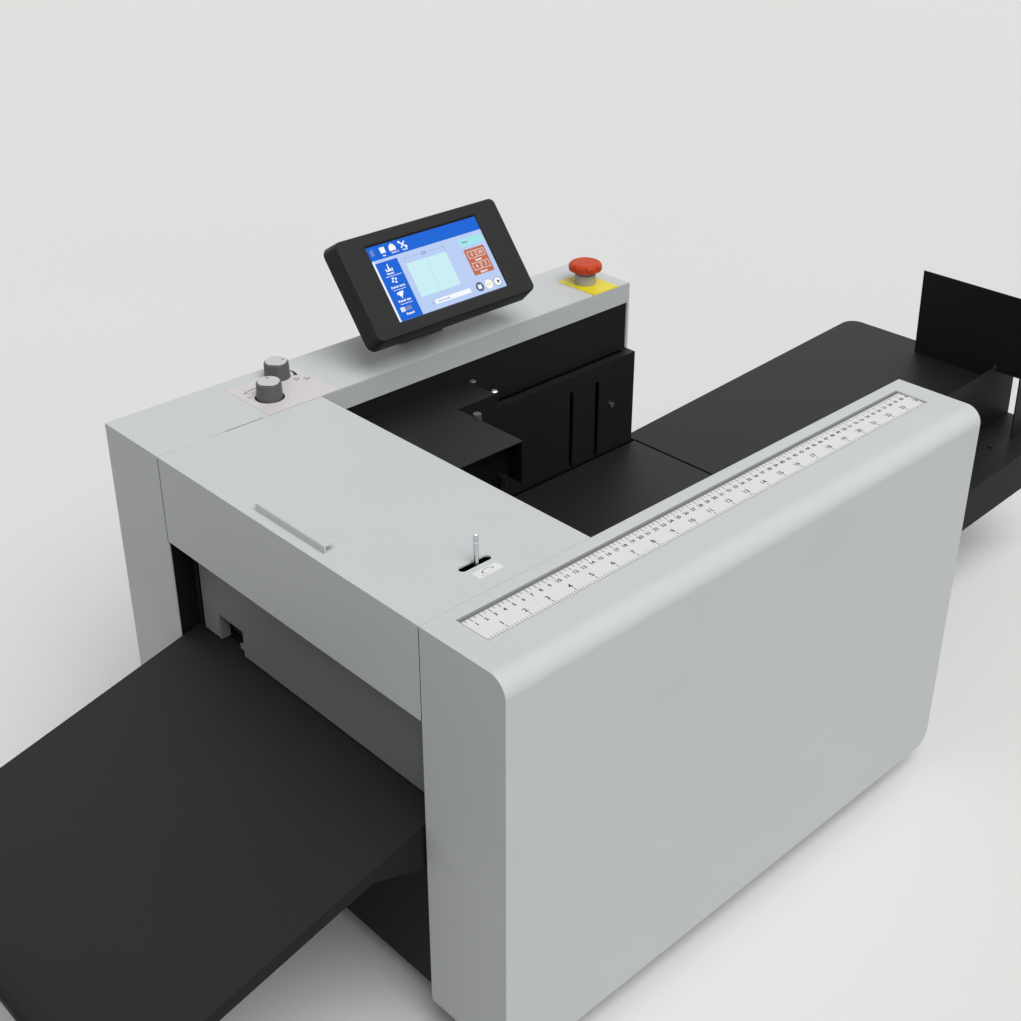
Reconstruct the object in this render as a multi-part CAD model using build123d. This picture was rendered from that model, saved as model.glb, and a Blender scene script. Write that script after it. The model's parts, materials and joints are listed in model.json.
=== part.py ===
"""Desktop paper creasing machine, built as an assembly of named sub-parts. Millimetres, +Z up.

X runs across the sheet from the tower to the ruler casing, Y runs from the delivery tray to the feed
end, and Z is height above the surface that the feet stand on. The model is written with x = 0 on the
tower's inner face and y = 0 on the front face, and is moved to the centre of its own base at the end.
"""

import os
from math import atan2, cos, pi, radians, sin, sqrt, tan

from build123d import *

# ---------------------------------------------------------------- body
BODY_LENGTH = 664.0
BODY_HEIGHT = 428.0
FOOT_HEIGHT = 27.0
TOWER_WIDTH = 98.6
THROAT_WIDTH = 384.7
CASING_WIDTH = 99.6
CASING_TOP_RADIUS = 18.0
BODY_CORNER_RADIUS = 20.0
SHEET = 2.0
THIN_SHEET = 1.5
INNER_FLANGE_DROP = 24.7
END_FLANGE_WIDTH = 4.0
FOOT_RADIUS = 19.0
FOOT_INSET = 46.0
BASE_LEDGE = 62.0
MOVING_GAP = 0.3
RUNNING_FIT = 0.05

# ---------------------------------------------------------------- bridge and its cover
BRIDGE_DEPTH = 194.0
COVER_FRONT_DROP = 93.9
COVER_SIDE_DROP = 12.0
HINGE_INSET = 9.0
HINGE_DROP = 8.0
HINGE_PIN_RADIUS = 2.5
HINGE_LUG_RADIUS = 5.5
HINGE_EAR_WIDTH = 4.0
HANDLE_LENGTH = 101.5
HANDLE_FIRST_X = 148.5
HANDLE_SETBACK = 10.5
HANDLE_HEIGHT = 8.0
HANDLE_LIP = 11.0
SLOT_INSET = 37.5
SLOT_FRONT_Y = 76.0
SLOT_LENGTH = 34.5
SLOT_WIDTH = 8.0
SEAM_NOTCH_FRONT_Y = 76.4
SEAM_NOTCH_LENGTH = 44.4
SEAM_NOTCH_WIDTH = 1.3

# ---------------------------------------------------------------- bridge frame
FRAME_THICKNESS = 6.0
FRAME_LEFT_X = 4.0
FRAME_RIGHT_CLEARANCE = 4.2
FRAME_TOP_DROP = 20.0
TIE_BAR_RADIUS = 6.0
TIE_BAR_PLACES = ((34.0, 75.0), (BRIDGE_DEPTH - 22.0, 75.0), (40.0, 320.0), (BRIDGE_DEPTH - 24.0, 320.0))
EXIT_PLATE_SETBACK = 20.3
EXIT_PLATE_LEFT_X = 17.0
EXIT_PLATE_TOP_DROP = 60.0
EXIT_PLATE_DROP = 197.0
EXIT_RETURN = 11.0
CUTOUT_LEFT_X = 45.7
CUTOUT_WIDTH = 41.3
CUTOUT_HEIGHT = 30.0
CUTOUT_TAB = 6.0
PATH_DROP = 199.0
GUIDE_GAP = 1.5

# ---------------------------------------------------------------- rollers and drive
LOWER_ROLLER_RADIUS = 15.0
UPPER_ROLLER_RADIUS = 10.0
SHAFT_RADIUS = 5.0
SLEEVE_INSET = 10.0
EXIT_ROLLER_Y = 45.0
INFEED_ROLLER_Y = 160.0
BUSH_WALL = 3.0
PULLEY_RADIUS = 18.0
MOTOR_PULLEY_RADIUS = 12.0
PULLEY_WIDTH = 12.0
PULLEY_X = -24.0
TIMING_BELT_THICKNESS = 1.5
MOTOR_PLATE_X = -50.0
FEED_MOTOR_Y = 130.0
FEED_MOTOR_DROP = 330.0
FEED_MOTOR_RADIUS = 34.0
CREASE_MOTOR_RADIUS = 26.0
MOTOR_LENGTH = 42.0

# ---------------------------------------------------------------- crease unit
CREASE_Y = 100.0
BLADE_LIFT = 4.5
BLADE_THICKNESS = 1.0
CARRIER_DEPTH = 20.0
CARRIER_BASE = 12.0
CARRIER_HEIGHT = 40.0
ANVIL_DEPTH = 30.0
ANVIL_HEIGHT = 24.0
ECCENTRIC_HEIGHT = 70.0
ECCENTRIC_RADIUS = 16.0
ECCENTRIC_THROW = 8.0
ECCENTRIC_REST_ANGLE = 30.0
ECCENTRIC_WIDTH = 14.0
YOKE_WALL = 6.0
YOKE_INSET = 36.0
GEAR_MODULE = 2.0
GEAR_TEETH = 40
PINION_TEETH = 16
GEAR_WIDTH = 10.0
GEAR_X = -42.0
GEAR_BACKLASH = 0.3

# ---------------------------------------------------------------- lever
LEVER_Y = 94.7
LEVER_PIVOT_DROP = 45.0
LEVER_ROD_RADIUS = 2.5
LEVER_RISE = 28.5
LEVER_GROOVE_DROP = 8.0
LEVER_HUB_RADIUS = 11.0
LEVER_CAM_RADIUS = 13.0
LEVER_CAM_INSET = 60.0
LEVER_CAM_WIDTH = 12.0
LEVER_CAM_THROW = 4.0

# ---------------------------------------------------------------- feed bed and vacuum feed
BED_DROP = 210.0
BED_LEFT_X = 20.0
BED_FRONT_Y = 212.0
RAIL_WIDTH = 40.0
RIGHT_RAIL_WIDTH = 14.0
RAIL_DROP = 20.0
BELT_MIDDLE_X = 235.0
BELT_PITCH = 55.0
BELT_WIDTH = 36.0
BELT_THICKNESS = 1.4
BELT_PROUD = 0.4
BELT_ROLLER_RADIUS = 16.0
BELT_DRIVE_Y = 234.0
BELT_IDLER_Y = 388.0
BELT_FRAME_INSET = 8.0
BELT_FRAME_THICKNESS = 4.0
BELT_FRAME_OVERHANG = 20.0
BELT_FRAME_DROP = 26.0
SUCTION_BOX_HEIGHT = 28.0
SUCTION_SLOT_WIDTH = 8.0
SUCTION_SLOT_LENGTH = 24.0
SUCTION_SLOT_INSET = 25.0
DUCT_RADIUS = 11.0
DUCT_WALL = 1.5
BLOWER_Y = 310.0
BLOWER_RADIUS = 64.0
BLOWER_WIDTH = 48.0
IMPELLER_BLADES = 18
SIDE_PLATE_X = 17.0
SIDE_PLATE_HEAD_GAP = 31.0
SIDE_PLATE_BACK_INSET = 4.0
SIDE_PLATE_TOP_DROP = 85.0
SIDE_PLATE_FOOT = 10.0
AIR_SLOT_INSETS = (112.0, 67.0)
AIR_SLOT_WIDTH = 6.0
AIR_SLOT_TOP_DROP = 106.0
AIR_BOX_MARGIN = 14.0
SIDE_GUIDE_INSET = 44.7
SIDE_GUIDE_HEIGHT = 62.0
SIDE_GUIDE_SLOT_INSETS = (194.0, 64.0)
SIDE_GUIDE_TRAVEL = 190.0
SIDE_GUIDE_OVERHANG = 34.0
SIDE_GUIDE_FOOT = 26.0
GUIDE_STUD_OFFSET = 12.0
GUIDE_STUD_RADIUS = 2.8
GUIDE_STUD_RISE = 14.0
GUIDE_STUD_DROP = 7.0
GUIDE_KNOB_RADIUS = 8.0
GUIDE_KNOB_HEIGHT = 9.5
GUIDE_NUT_RADIUS = 7.0
GUIDE_NUT_HEIGHT = 3.7

# ---------------------------------------------------------------- feed head
HEAD_WIDTH = 149.0
HEAD_DEPTH = 145.0
HEAD_NOSE_WIDTH = 47.0
HEAD_NOSE_DEPTH = 201.0
HEAD_TOP_DROP = 47.0
HEAD_HEIGHT = 50.5
HEAD_WALL_INSET = 20.0
HEAD_PIN_RADIUS = 4.0
HEAD_PIN_RISE = 1.0
HEAD_PIN_INSET = 6.6
HEAD_STUD_RADIUS = 4.6
HEAD_STUD_OFFSET = 26.0
HEAD_STUD_DROP = 16.0
HEAD_STUD_RISE = 2.6
HEAD_POST_RADIUS = 4.6
HEAD_POST_INSET = (9.0, 20.6)
HEAD_POST_HEIGHT = 13.5
SIDE_SCREW_RADIUS = 3.4
SIDE_SCREW_HEIGHT = 2.0
SIDE_SCREW_INSET = 40.5
SIDE_SCREW_DROP = 145.5

# ---------------------------------------------------------------- extension and back stop
EXTENSION_SLOPE = 2.6
EXTENSION_LEFT_X = 3.5
EXTENSION_RIGHT_X = 262.0
EXTENSION_LENGTH = 497.0
EXTENSION_RIM = 18.0
EXTENSION_CORNER = 20.0
BEAM_LENGTH = 530.0
BEAM_DROP = 80.0
BEAM_WIDTH = 78.0
BEAM_LIP = 60.0
STOP_DISTANCE = 463.0
STOP_LEFT_X = 136.0
STOP_RIGHT_X = 300.0
STOP_HEIGHT = 124.0
STOP_WING = 72.0

# ---------------------------------------------------------------- delivery tray
TRAY_SLOPE = 14.3
TRAY_LENGTH = 350.0
TRAY_BACK_Y = 16.0
TRAY_DROP = 200.6
TRAY_LEFT_X = 3.0
TRAY_EDGE = 14.0
TRAY_STOP_HEIGHT = 26.0

# ---------------------------------------------------------------- ruler
RULER_WIDTH = 35.9
RULER_LENGTH = 610.3
RULER_LEFT_OFFSET = 15.8
RULER_FRONT_Y = 27.2
RULER_LAP = 5.0

# ---------------------------------------------------------------- controls
OVERLAY_WIDTH = 80.0
OVERLAY_FRONT_Y = 129.0
OVERLAY_LENGTH = 87.0
OVERLAY_THICKNESS = 0.5
KNOB_PLACES = {"front": (-34.5, 153.5), "rear": (-70.8, 188.3)}
KNOB_BASE_RADIUS = 13.8
KNOB_TOP_RADIUS = 13.1
KNOB_HEIGHT = 19.0
KNOB_SINK = 1.5
KNOB_HOLE_RADII = {"front": 15.5, "rear": 14.2}
KNOB_CAP_RADIUS = 11.6
KNOB_CAP_HEIGHT = 1.2
KNOB_DIMPLE_RADIUS = 1.4
KNOB_DIMPLE_DEPTH = 0.5
KNOB_DIMPLE_REACH = 7.5
KNOB_ANGLES = {"front": 153.0, "rear": 75.0}
STOP_BUTTON_PLACE = (-37.0, BODY_LENGTH - 41.3)
STOP_LABEL_RIGHT_X = -0.2
STOP_LABEL_WIDTH = 62.3
STOP_LABEL_DEPTH = 43.0
STOP_LABEL_THICKNESS = 1.0
STOP_COLLAR_RADIUS = 13.0
STOP_COLLAR_HEIGHT = 13.5
STOP_STEM_RADIUS = 9.0
STOP_FLANGE_RADIUS = 11.0
STOP_TRAVEL = 4.0
STOP_CLEARANCE = 0.5
STOP_HEAD_RADIUS = 20.5
STOP_HEAD_HEIGHT = 10.0
STOP_STEM_TENON = 4.0
STOP_HEAD_FLUTES = 8
STOP_FLUTE_RADIUS = 3.6
STOP_FLUTE_OFFSET = 2.0

# ---------------------------------------------------------------- touch panel
PANEL_WIDTH = 224.0
PANEL_HEIGHT = 115.0
PANEL_THICKNESS = 24.0
PANEL_FRONT_LAYER = 9.0
PANEL_CORNER = 7.0
PANEL_FLARE = 3.0
PANEL_TILT = 38.5
PANEL_CENTRE = (-15.0, 370.0, 92.0)
DISPLAY_WIDTH = 154.1
DISPLAY_HEIGHT = 85.9
DISPLAY_RECESS = 2.0
DISPLAY_THICKNESS = 3.0
STAND_PIN_X = -30.0
STAND_PIN_HEIGHT = 49.0
STAND_PIN_RADIUS = 3.0
STAND_EAR_SPREAD = 22.0
STAND_EAR_THICKNESS = 4.0
STAND_EAR_FOOT = 24.0
STAND_EYE_RADIUS = 7.0
STAND_BASE_X = -72.0
STAND_BASE = (46.0, 64.0, 4.0)

# ---------------------------------------------------------------- mains inlet and switch
INLET_X = -66.0
INLET_HEIGHT = 72.0
ROCKER_X = -26.0
ROCKER_WIDTH = 13.0
ROCKER_HEIGHT = 19.0
ROCKER_TIP = 8.0
ROCKER_PIN_RADIUS = 1.2
ROCKER_GAP = 0.5
SWITCH_SIDE_WALL = 2.0
SWITCH_END_WALL = 3.0
SWITCH_DEPTH = 22.0
SWITCH_RIM = 2.0

# ---------------------------------------------------------------- power supply, board and vents
SUPPLY_GAP = 14.0
SUPPLY_WIDTH = 50.0
SUPPLY_FRONT_Y = 80.0
SUPPLY_LENGTH = 160.0
SUPPLY_HEIGHT = 98.0
LOUVRE_COUNT = 9
LOUVRE_PITCH = 16.0
LOUVRE_LENGTH = 8.0
LOUVRE_HEIGHT = 58.0
LOUVRE_DEPTH = 4.0
BOARD_STANDOFF = 8.0
BOARD_THICKNESS = 1.6
BOARD_FRONT_Y = 260.0
BOARD_LENGTH = 160.0
BOARD_LOW = 220.0
BOARD_HEIGHT = 140.0
BOARD_POST_RADIUS = 3.0
BOARD_POST_INSET = 6.0
BOARD_PART_THICKNESS = 12.4
BOARD_PARTS = ((30.0, 30.0, 30.0, 40.0), (80.0, 80.0, 44.0, 30.0), (120.0, 20.0, 24.0, 24.0),
               (40.0, 100.0, 20.0, 20.0))
VENT_ROWS = 6
VENT_COLUMNS = 3
VENT_WIDTH = 80.0
VENT_HEIGHT = 4.0
VENT_PITCH = 14.0
VENT_SPREAD = 112.0
VENT_RISE = 40.0

# ---------------------------------------------------------------- derived levels and places
TOP = FOOT_HEIGHT + BODY_HEIGHT
FLOOR_PAN_TOP = FOOT_HEIGHT + 2 * SHEET
BED_TOP = TOP - BED_DROP
PATH = TOP - PATH_DROP
TOWER_LEFT = -TOWER_WIDTH
CASING_RIGHT = THROAT_WIDTH + CASING_WIDTH
WALL_LEFT = -SHEET
WALL_RIGHT = THROAT_WIDTH + SHEET
FRAME_LEFT = (FRAME_LEFT_X, FRAME_LEFT_X + FRAME_THICKNESS)
FRAME_RIGHT_END = THROAT_WIDTH - FRAME_RIGHT_CLEARANCE
FRAME_RIGHT = (FRAME_RIGHT_END - FRAME_THICKNESS, FRAME_RIGHT_END)
FRAME_FRONT_Y = EXIT_PLATE_SETBACK + THIN_SHEET
FRAME_BACK_Y = BRIDGE_DEPTH - 4.0
HINGE_Y = BRIDGE_DEPTH - HINGE_INSET
HINGE_Z = TOP - HINGE_DROP
LOWER_AXIS = PATH - LOWER_ROLLER_RADIUS - MOVING_GAP / 2
UPPER_AXIS = PATH + UPPER_ROLLER_RADIUS + MOVING_GAP / 2
CRANK_Z = PATH + ECCENTRIC_HEIGHT
DISC_Y = CREASE_Y + ECCENTRIC_THROW * cos(radians(ECCENTRIC_REST_ANGLE))
DISC_Z = CRANK_Z + ECCENTRIC_THROW * sin(radians(ECCENTRIC_REST_ANGLE))
GEAR_RADIUS = GEAR_MODULE * GEAR_TEETH / 2
PINION_RADIUS = GEAR_MODULE * PINION_TEETH / 2
PINION_Z = CRANK_Z - GEAR_RADIUS - PINION_RADIUS
YOKE_PLACES = (FRAME_LEFT[1] + YOKE_INSET, FRAME_RIGHT[0] - YOKE_INSET - ECCENTRIC_WIDTH)
FEED_MOTOR_Z = TOP - FEED_MOTOR_DROP
LEVER_Z = TOP - LEVER_PIVOT_DROP
SLOT_X = THROAT_WIDTH - SLOT_INSET
LEVER_CAM_PLACES = (FRAME_LEFT[1] + LEVER_CAM_INSET, FRAME_RIGHT[0] - LEVER_CAM_INSET - LEVER_CAM_WIDTH)
BELT_PLACES = (BELT_MIDDLE_X - BELT_PITCH, BELT_MIDDLE_X, BELT_MIDDLE_X + BELT_PITCH)
BELT_TOP = BED_TOP + BELT_PROUD
BELT_AXIS = BELT_TOP - BELT_THICKNESS - MOVING_GAP - BELT_ROLLER_RADIUS
BELT_FRAME_LEFT = BELT_PLACES[0] - BELT_WIDTH / 2 - BELT_FRAME_INSET
BELT_FRAME_RIGHT = BELT_PLACES[-1] + BELT_WIDTH / 2 + BELT_FRAME_INSET
SIDE_PLATE_TOP = TOP - SIDE_PLATE_TOP_DROP
SIDE_PLATE_FRONT_Y = BRIDGE_DEPTH + HEAD_NOSE_DEPTH + SIDE_PLATE_HEAD_GAP
SIDE_PLATE_BACK_Y = BODY_LENGTH - SIDE_PLATE_BACK_INSET
AIR_SLOT_PLACES = tuple(SIDE_PLATE_BACK_Y - inset for inset in AIR_SLOT_INSETS)
SIDE_GUIDE_X = THROAT_WIDTH - SIDE_GUIDE_INSET
SIDE_GUIDE_SLOTS = tuple(BODY_LENGTH - inset for inset in SIDE_GUIDE_SLOT_INSETS)
REAR_PANEL_Y = BODY_LENGTH - BODY_CORNER_RADIUS - SHEET
STOP_HEAD_BASE = TOP + STOP_COLLAR_HEIGHT + STOP_TRAVEL + STOP_CLEARANCE


# ---------------------------------------------------------------- small helpers
def block(x0, x1, y0, y1, z0, z1):
    """A box between two opposite corners."""
    return Pos((x0 + x1) / 2, (y0 + y1) / 2, (z0 + z1) / 2) * Box(x1 - x0, y1 - y0, z1 - z0)


def rod_x(radius, x0, x1, y, z):
    """A round bar along X."""
    return Pos((x0 + x1) / 2, y, z) * Rot(0, 90, 0) * Cylinder(radius, x1 - x0)


def rod_y(radius, x, y0, y1, z):
    """A round bar along Y."""
    return Pos(x, (y0 + y1) / 2, z) * Rot(90, 0, 0) * Cylinder(radius, y1 - y0)


def rod_z(radius, x, y, z0, z1):
    """A round bar along Z."""
    return Pos(x, y, (z0 + z1) / 2) * Cylinder(radius, z1 - z0)


def group(*pieces):
    """Separate solids kept side by side in one node."""
    solids = []
    for piece in pieces:
        solids.extend(piece.solids())
    return Compound(solids)


# ---------------------------------------------------------------- casings, walls and base
def rounded_case(x0, x1, inset, top_radius_side):
    """A case with rounded lower corners and, where asked, a round top outer edge."""
    y0 = inset
    y1 = BODY_LENGTH - inset
    z0 = FOOT_HEIGHT + inset
    z1 = TOP - inset
    corner = BODY_CORNER_RADIUS - inset
    case = block(x0, x1, y0, y1, z0, z1)
    low_edges = case.edges().filter_by(Axis.X).filter_by(lambda edge: edge.center().Z < z0 + 1)
    case = fillet(low_edges, corner)
    if top_radius_side:
        outer = case.edges().filter_by(Axis.Y).filter_by(
            lambda edge: edge.center().Z > z1 - 1 and abs(edge.center().X - x1) < 1
        )
        case = fillet(outer, CASING_TOP_RADIUS - inset)
    return case


def base_opening(x0, x1):
    """The opening in a case's floor, inside the ledge that the base pan lies on."""
    return block(x0, x1, BASE_LEDGE, BODY_LENGTH - BASE_LEDGE, FOOT_HEIGHT - 1, FOOT_HEIGHT + SHEET + 1)


def inner_flanges(x0, x1):
    """The top and end flanges on a case's throat side."""
    top_flange = block(x0, x1, BRIDGE_DEPTH, BODY_LENGTH, TOP - INNER_FLANGE_DROP, TOP)
    end_low = FOOT_HEIGHT + BODY_CORNER_RADIUS
    end_flange = block(x0, x1, BODY_LENGTH - END_FLANGE_WIDTH, BODY_LENGTH, end_low, TOP)
    return top_flange + end_flange


def tower_shell():
    """The left case, open toward the throat."""
    case = rounded_case(TOWER_LEFT, 0, 0, False)
    case -= rounded_case(TOWER_LEFT + SHEET, SHEET, SHEET, False)
    case -= base_opening(TOWER_LEFT + SHEET, SHEET)
    case += inner_flanges(-SHEET, 0)
    for name, place in KNOB_PLACES.items():
        case -= rod_z(KNOB_HOLE_RADII[name], place[0], place[1], TOP - 2 * SHEET, TOP + 1)
    case -= rod_z(STOP_STEM_RADIUS, *STOP_BUTTON_PLACE, TOP - 2 * SHEET, TOP + 1)
    notch_back = SEAM_NOTCH_FRONT_Y + SEAM_NOTCH_LENGTH
    case -= block(-SEAM_NOTCH_WIDTH, 1, SEAM_NOTCH_FRONT_Y, notch_back, TOP - SHEET - 1, TOP + 1)
    case -= inlet_body(MOVING_GAP / 3)
    case -= rocker_hole()
    return case


def casing_shell():
    """The right case with its round top edge and the window over the ruler."""
    case = rounded_case(THROAT_WIDTH, CASING_RIGHT, 0, True)
    case -= rounded_case(THROAT_WIDTH - SHEET, CASING_RIGHT - SHEET, SHEET, True)
    case -= base_opening(THROAT_WIDTH - SHEET, CASING_RIGHT - SHEET)
    case += inner_flanges(THROAT_WIDTH, WALL_RIGHT)
    ruler_x = THROAT_WIDTH + RULER_LEFT_OFFSET
    ruler_back = RULER_FRONT_Y + RULER_LENGTH
    case -= block(ruler_x, ruler_x + RULER_WIDTH, RULER_FRONT_Y, ruler_back, TOP - 2 * SHEET, TOP + 1)
    return case


def wall_outline(x0, x1):
    """An upright inner wall standing on the base pan, its lower corners inside the case's."""
    wall = block(x0, x1, SHEET, BODY_LENGTH - END_FLANGE_WIDTH, FLOOR_PAN_TOP, TOP - SHEET)
    low_corners = wall.edges().filter_by(Axis.X).sort_by(Axis.Z)[0:2]
    return fillet(low_corners, BODY_CORNER_RADIUS)


def tower_inner_wall():
    """The black wall between the tower and the throat, with its shaft holes."""
    wall = wall_outline(WALL_LEFT - SHEET, WALL_LEFT)
    clear = SHAFT_RADIUS + 2.0
    shaft_places = (
        (EXIT_ROLLER_Y, LOWER_AXIS, clear),
        (INFEED_ROLLER_Y, LOWER_AXIS, clear),
        (CREASE_Y, CRANK_Z, clear + 3.0),
        (BELT_DRIVE_Y, BELT_AXIS, clear),
    )
    for y, z, radius in shaft_places:
        wall -= rod_x(radius, WALL_LEFT - 2 * SHEET, SHEET, y, z)
    return wall


def casing_inner_wall():
    """The black wall between the throat and the right case, with its duct holes."""
    wall = wall_outline(WALL_RIGHT, WALL_RIGHT + SHEET)
    wall -= rod_x(DUCT_RADIUS, THROAT_WIDTH, WALL_RIGHT + 2 * SHEET, BLOWER_Y, suction_axis())
    wall -= rod_x(DUCT_RADIUS, THROAT_WIDTH, WALL_RIGHT + 2 * SHEET, air_duct_y(), air_duct_z())
    return wall


def base_pan():
    """The floor plate that ties the two cases together."""
    left = TOWER_LEFT + SHEET
    right = CASING_RIGHT - SHEET
    front = BODY_CORNER_RADIUS + SHEET
    pan = block(left, right, front, BODY_LENGTH - front, FOOT_HEIGHT + SHEET, FLOOR_PAN_TOP)
    for x in (left + 90, (left + right) / 2, right - 90):
        for y in range(200, 520, 40):
            vent = Pos(x, y, FLOOR_PAN_TOP) * Box(60, 6, 3 * SHEET)
            pan -= vent
    return pan


def rubber_feet():
    """Four feet under the corners of the two cases."""
    feet = []
    for x in (TOWER_LEFT + FOOT_INSET, CASING_RIGHT - FOOT_INSET):
        for y in (FOOT_INSET, BODY_LENGTH - FOOT_INSET):
            foot = rod_z(FOOT_RADIUS, x, y, 0, FOOT_HEIGHT)
            foot = chamfer(foot.edges().sort_by(Axis.Z)[0], 3.0)
            foot -= rod_z(FOOT_RADIUS / 2.4, x, y, -1, FOOT_HEIGHT / 3)
            feet.append(foot)
    return group(*feet)


def lower_panels():
    """The front panel under the tray and the rear panel under the bed."""
    front = block(WALL_LEFT, WALL_RIGHT, TRAY_BACK_Y + SHEET, TRAY_BACK_Y + SHEET + THIN_SHEET,
                  FLOOR_PAN_TOP, PATH - 5.0)
    rear = block(WALL_LEFT, WALL_RIGHT, REAR_PANEL_Y - SHEET, REAR_PANEL_Y, FLOOR_PAN_TOP,
                 BED_TOP - 2 * SHEET - 3.0)
    for row in range(VENT_ROWS):
        for column in range(VENT_COLUMNS):
            x = THROAT_WIDTH / 2 + (column - (VENT_COLUMNS - 1) / 2) * VENT_SPREAD
            z = FLOOR_PAN_TOP + VENT_RISE + row * VENT_PITCH
            rear -= Pos(x, REAR_PANEL_Y, z) * Box(VENT_WIDTH, 4 * SHEET, VENT_HEIGHT)
    return group(front, rear)


# ---------------------------------------------------------------- bridge frame and cover
def hinge_lug(x0, x1):
    """A rounded lug around the cover's hinge axis, with its neck."""
    eye = rod_x(HINGE_LUG_RADIUS, x0, x1, HINGE_Y, HINGE_Z)
    neck = block(x0, x1, HINGE_Y - HINGE_LUG_RADIUS, HINGE_Y + HINGE_LUG_RADIUS - 1.0,
                 TOP - FRAME_TOP_DROP - 1, HINGE_Z)
    return eye + neck


def frame_holes():
    """Every bush or pin that passes through a side frame: y, z and hole radius."""
    bush = SHAFT_RADIUS + BUSH_WALL
    return (
        (EXIT_ROLLER_Y, LOWER_AXIS, bush),
        (EXIT_ROLLER_Y, UPPER_AXIS, bush),
        (INFEED_ROLLER_Y, LOWER_AXIS, bush),
        (INFEED_ROLLER_Y, UPPER_AXIS, bush),
        (CREASE_Y, CRANK_Z, bush),
        (LEVER_Y, LEVER_Z, bush),
    )


def side_frame(span):
    """One steel side frame standing on the base pan."""
    x0, x1 = span
    plate = block(x0, x1, FRAME_FRONT_Y, FRAME_BACK_Y, FLOOR_PAN_TOP, TOP - FRAME_TOP_DROP)
    plate += hinge_lug(x0, x1)
    for y, z, radius in frame_holes():
        plate -= rod_x(radius, x0 - 1, x1 + 1, y, z)
    plate -= rod_x(HINGE_PIN_RADIUS, x0 - 1, x1 + 1, HINGE_Y, HINGE_Z)
    return plate


def bridge_frame():
    """Both side frames, the tie bars between them and the two rests for the cover."""
    pieces = [side_frame(FRAME_LEFT), side_frame(FRAME_RIGHT)]
    for y, drop in TIE_BAR_PLACES:
        pieces.append(rod_x(TIE_BAR_RADIUS, FRAME_LEFT[1], FRAME_RIGHT[0], y, TOP - drop))
    for span in (FRAME_LEFT, FRAME_RIGHT):
        x = (span[0] + span[1]) / 2
        pieces.append(rod_z(FRAME_THICKNESS / 2, x, 60, TOP - FRAME_TOP_DROP, TOP - SHEET - MOVING_GAP))
    return group(*pieces)


def exit_plate():
    """The bent front plate over the sheet exit, with its cut-out and returns."""
    back = EXIT_PLATE_SETBACK + THIN_SHEET
    low = TOP - EXIT_PLATE_DROP
    right = THROAT_WIDTH - 0.7
    plate = block(EXIT_PLATE_LEFT_X, right, EXIT_PLATE_SETBACK, back, low, TOP - EXIT_PLATE_TOP_DROP)
    plate += block(EXIT_PLATE_LEFT_X, FRAME_RIGHT[0], EXIT_PLATE_SETBACK, EXIT_PLATE_SETBACK + EXIT_RETURN,
                   low, low + THIN_SHEET)
    front_low = plate.edges().filter_by(Axis.X).sort_by(lambda edge: edge.center().Y + edge.center().Z)[0]
    plate = fillet(front_low, THIN_SHEET - 0.1)
    cut_right = CUTOUT_LEFT_X + CUTOUT_WIDTH
    cut_back = EXIT_PLATE_SETBACK + EXIT_RETURN
    plate -= block(CUTOUT_LEFT_X, cut_right, EXIT_PLATE_SETBACK - 1, cut_back + 1, low - 1,
                   low + CUTOUT_HEIGHT)
    plate += block(CUTOUT_LEFT_X - THIN_SHEET, CUTOUT_LEFT_X, EXIT_PLATE_SETBACK, cut_back,
                   low, low + CUTOUT_HEIGHT)
    tab_low = low + CUTOUT_HEIGHT / 4
    plate += block(cut_right - CUTOUT_TAB, cut_right, EXIT_PLATE_SETBACK, back, tab_low,
                   tab_low + CUTOUT_TAB)
    return plate


def bridge_rear_panel():
    """The plate that closes the back of the bridge and stops the pile."""
    return block(FRAME_LEFT[0], FRAME_RIGHT[1], FRAME_BACK_Y, FRAME_BACK_Y + THIN_SHEET,
                 PATH + 4.0, TOP - FRAME_TOP_DROP - 2.0)


def bridge_cover():
    """The hinged cover: top, front flange, side flanges, lever slot and hinge ears."""
    x0 = MOVING_GAP
    x1 = THROAT_WIDTH - MOVING_GAP
    cover = block(x0, x1, 0, BRIDGE_DEPTH - MOVING_GAP, TOP - SHEET, TOP)
    cover += block(x0, x1, 0, SHEET, TOP - COVER_FRONT_DROP, TOP)
    side_back = HINGE_Y - 3 * HINGE_LUG_RADIUS
    for left in (x0, x1 - SHEET):
        cover += block(left, left + SHEET, 0, side_back, TOP - SHEET - COVER_SIDE_DROP, TOP)
    half = SLOT_WIDTH / 2
    slot_back = SLOT_FRONT_Y + SLOT_LENGTH
    slot = block(SLOT_X - half, SLOT_X + half, SLOT_FRONT_Y + half, slot_back - half,
                 TOP - 2 * SHEET, TOP + 1)
    slot += rod_z(half, SLOT_X, SLOT_FRONT_Y + half, TOP - 2 * SHEET, TOP + 1)
    slot += rod_z(half, SLOT_X, slot_back - half, TOP - 2 * SHEET, TOP + 1)
    cover -= slot
    for x in ear_places():
        ear = rod_x(HINGE_LUG_RADIUS, x, x + HINGE_EAR_WIDTH, HINGE_Y, HINGE_Z)
        ear += block(x, x + HINGE_EAR_WIDTH, HINGE_Y - HINGE_LUG_RADIUS, HINGE_Y + HINGE_LUG_RADIUS,
                     HINGE_Z, TOP - SHEET / 2)
        ear -= rod_x(HINGE_PIN_RADIUS + RUNNING_FIT, x - 1, x + HINGE_EAR_WIDTH + 1, HINGE_Y, HINGE_Z)
        cover += ear
    return cover


def ear_places():
    """The two cover ears, just inside the side frames."""
    gap = 2.0
    return (FRAME_LEFT[1] + gap, FRAME_RIGHT[0] - gap - HINGE_EAR_WIDTH)


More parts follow.
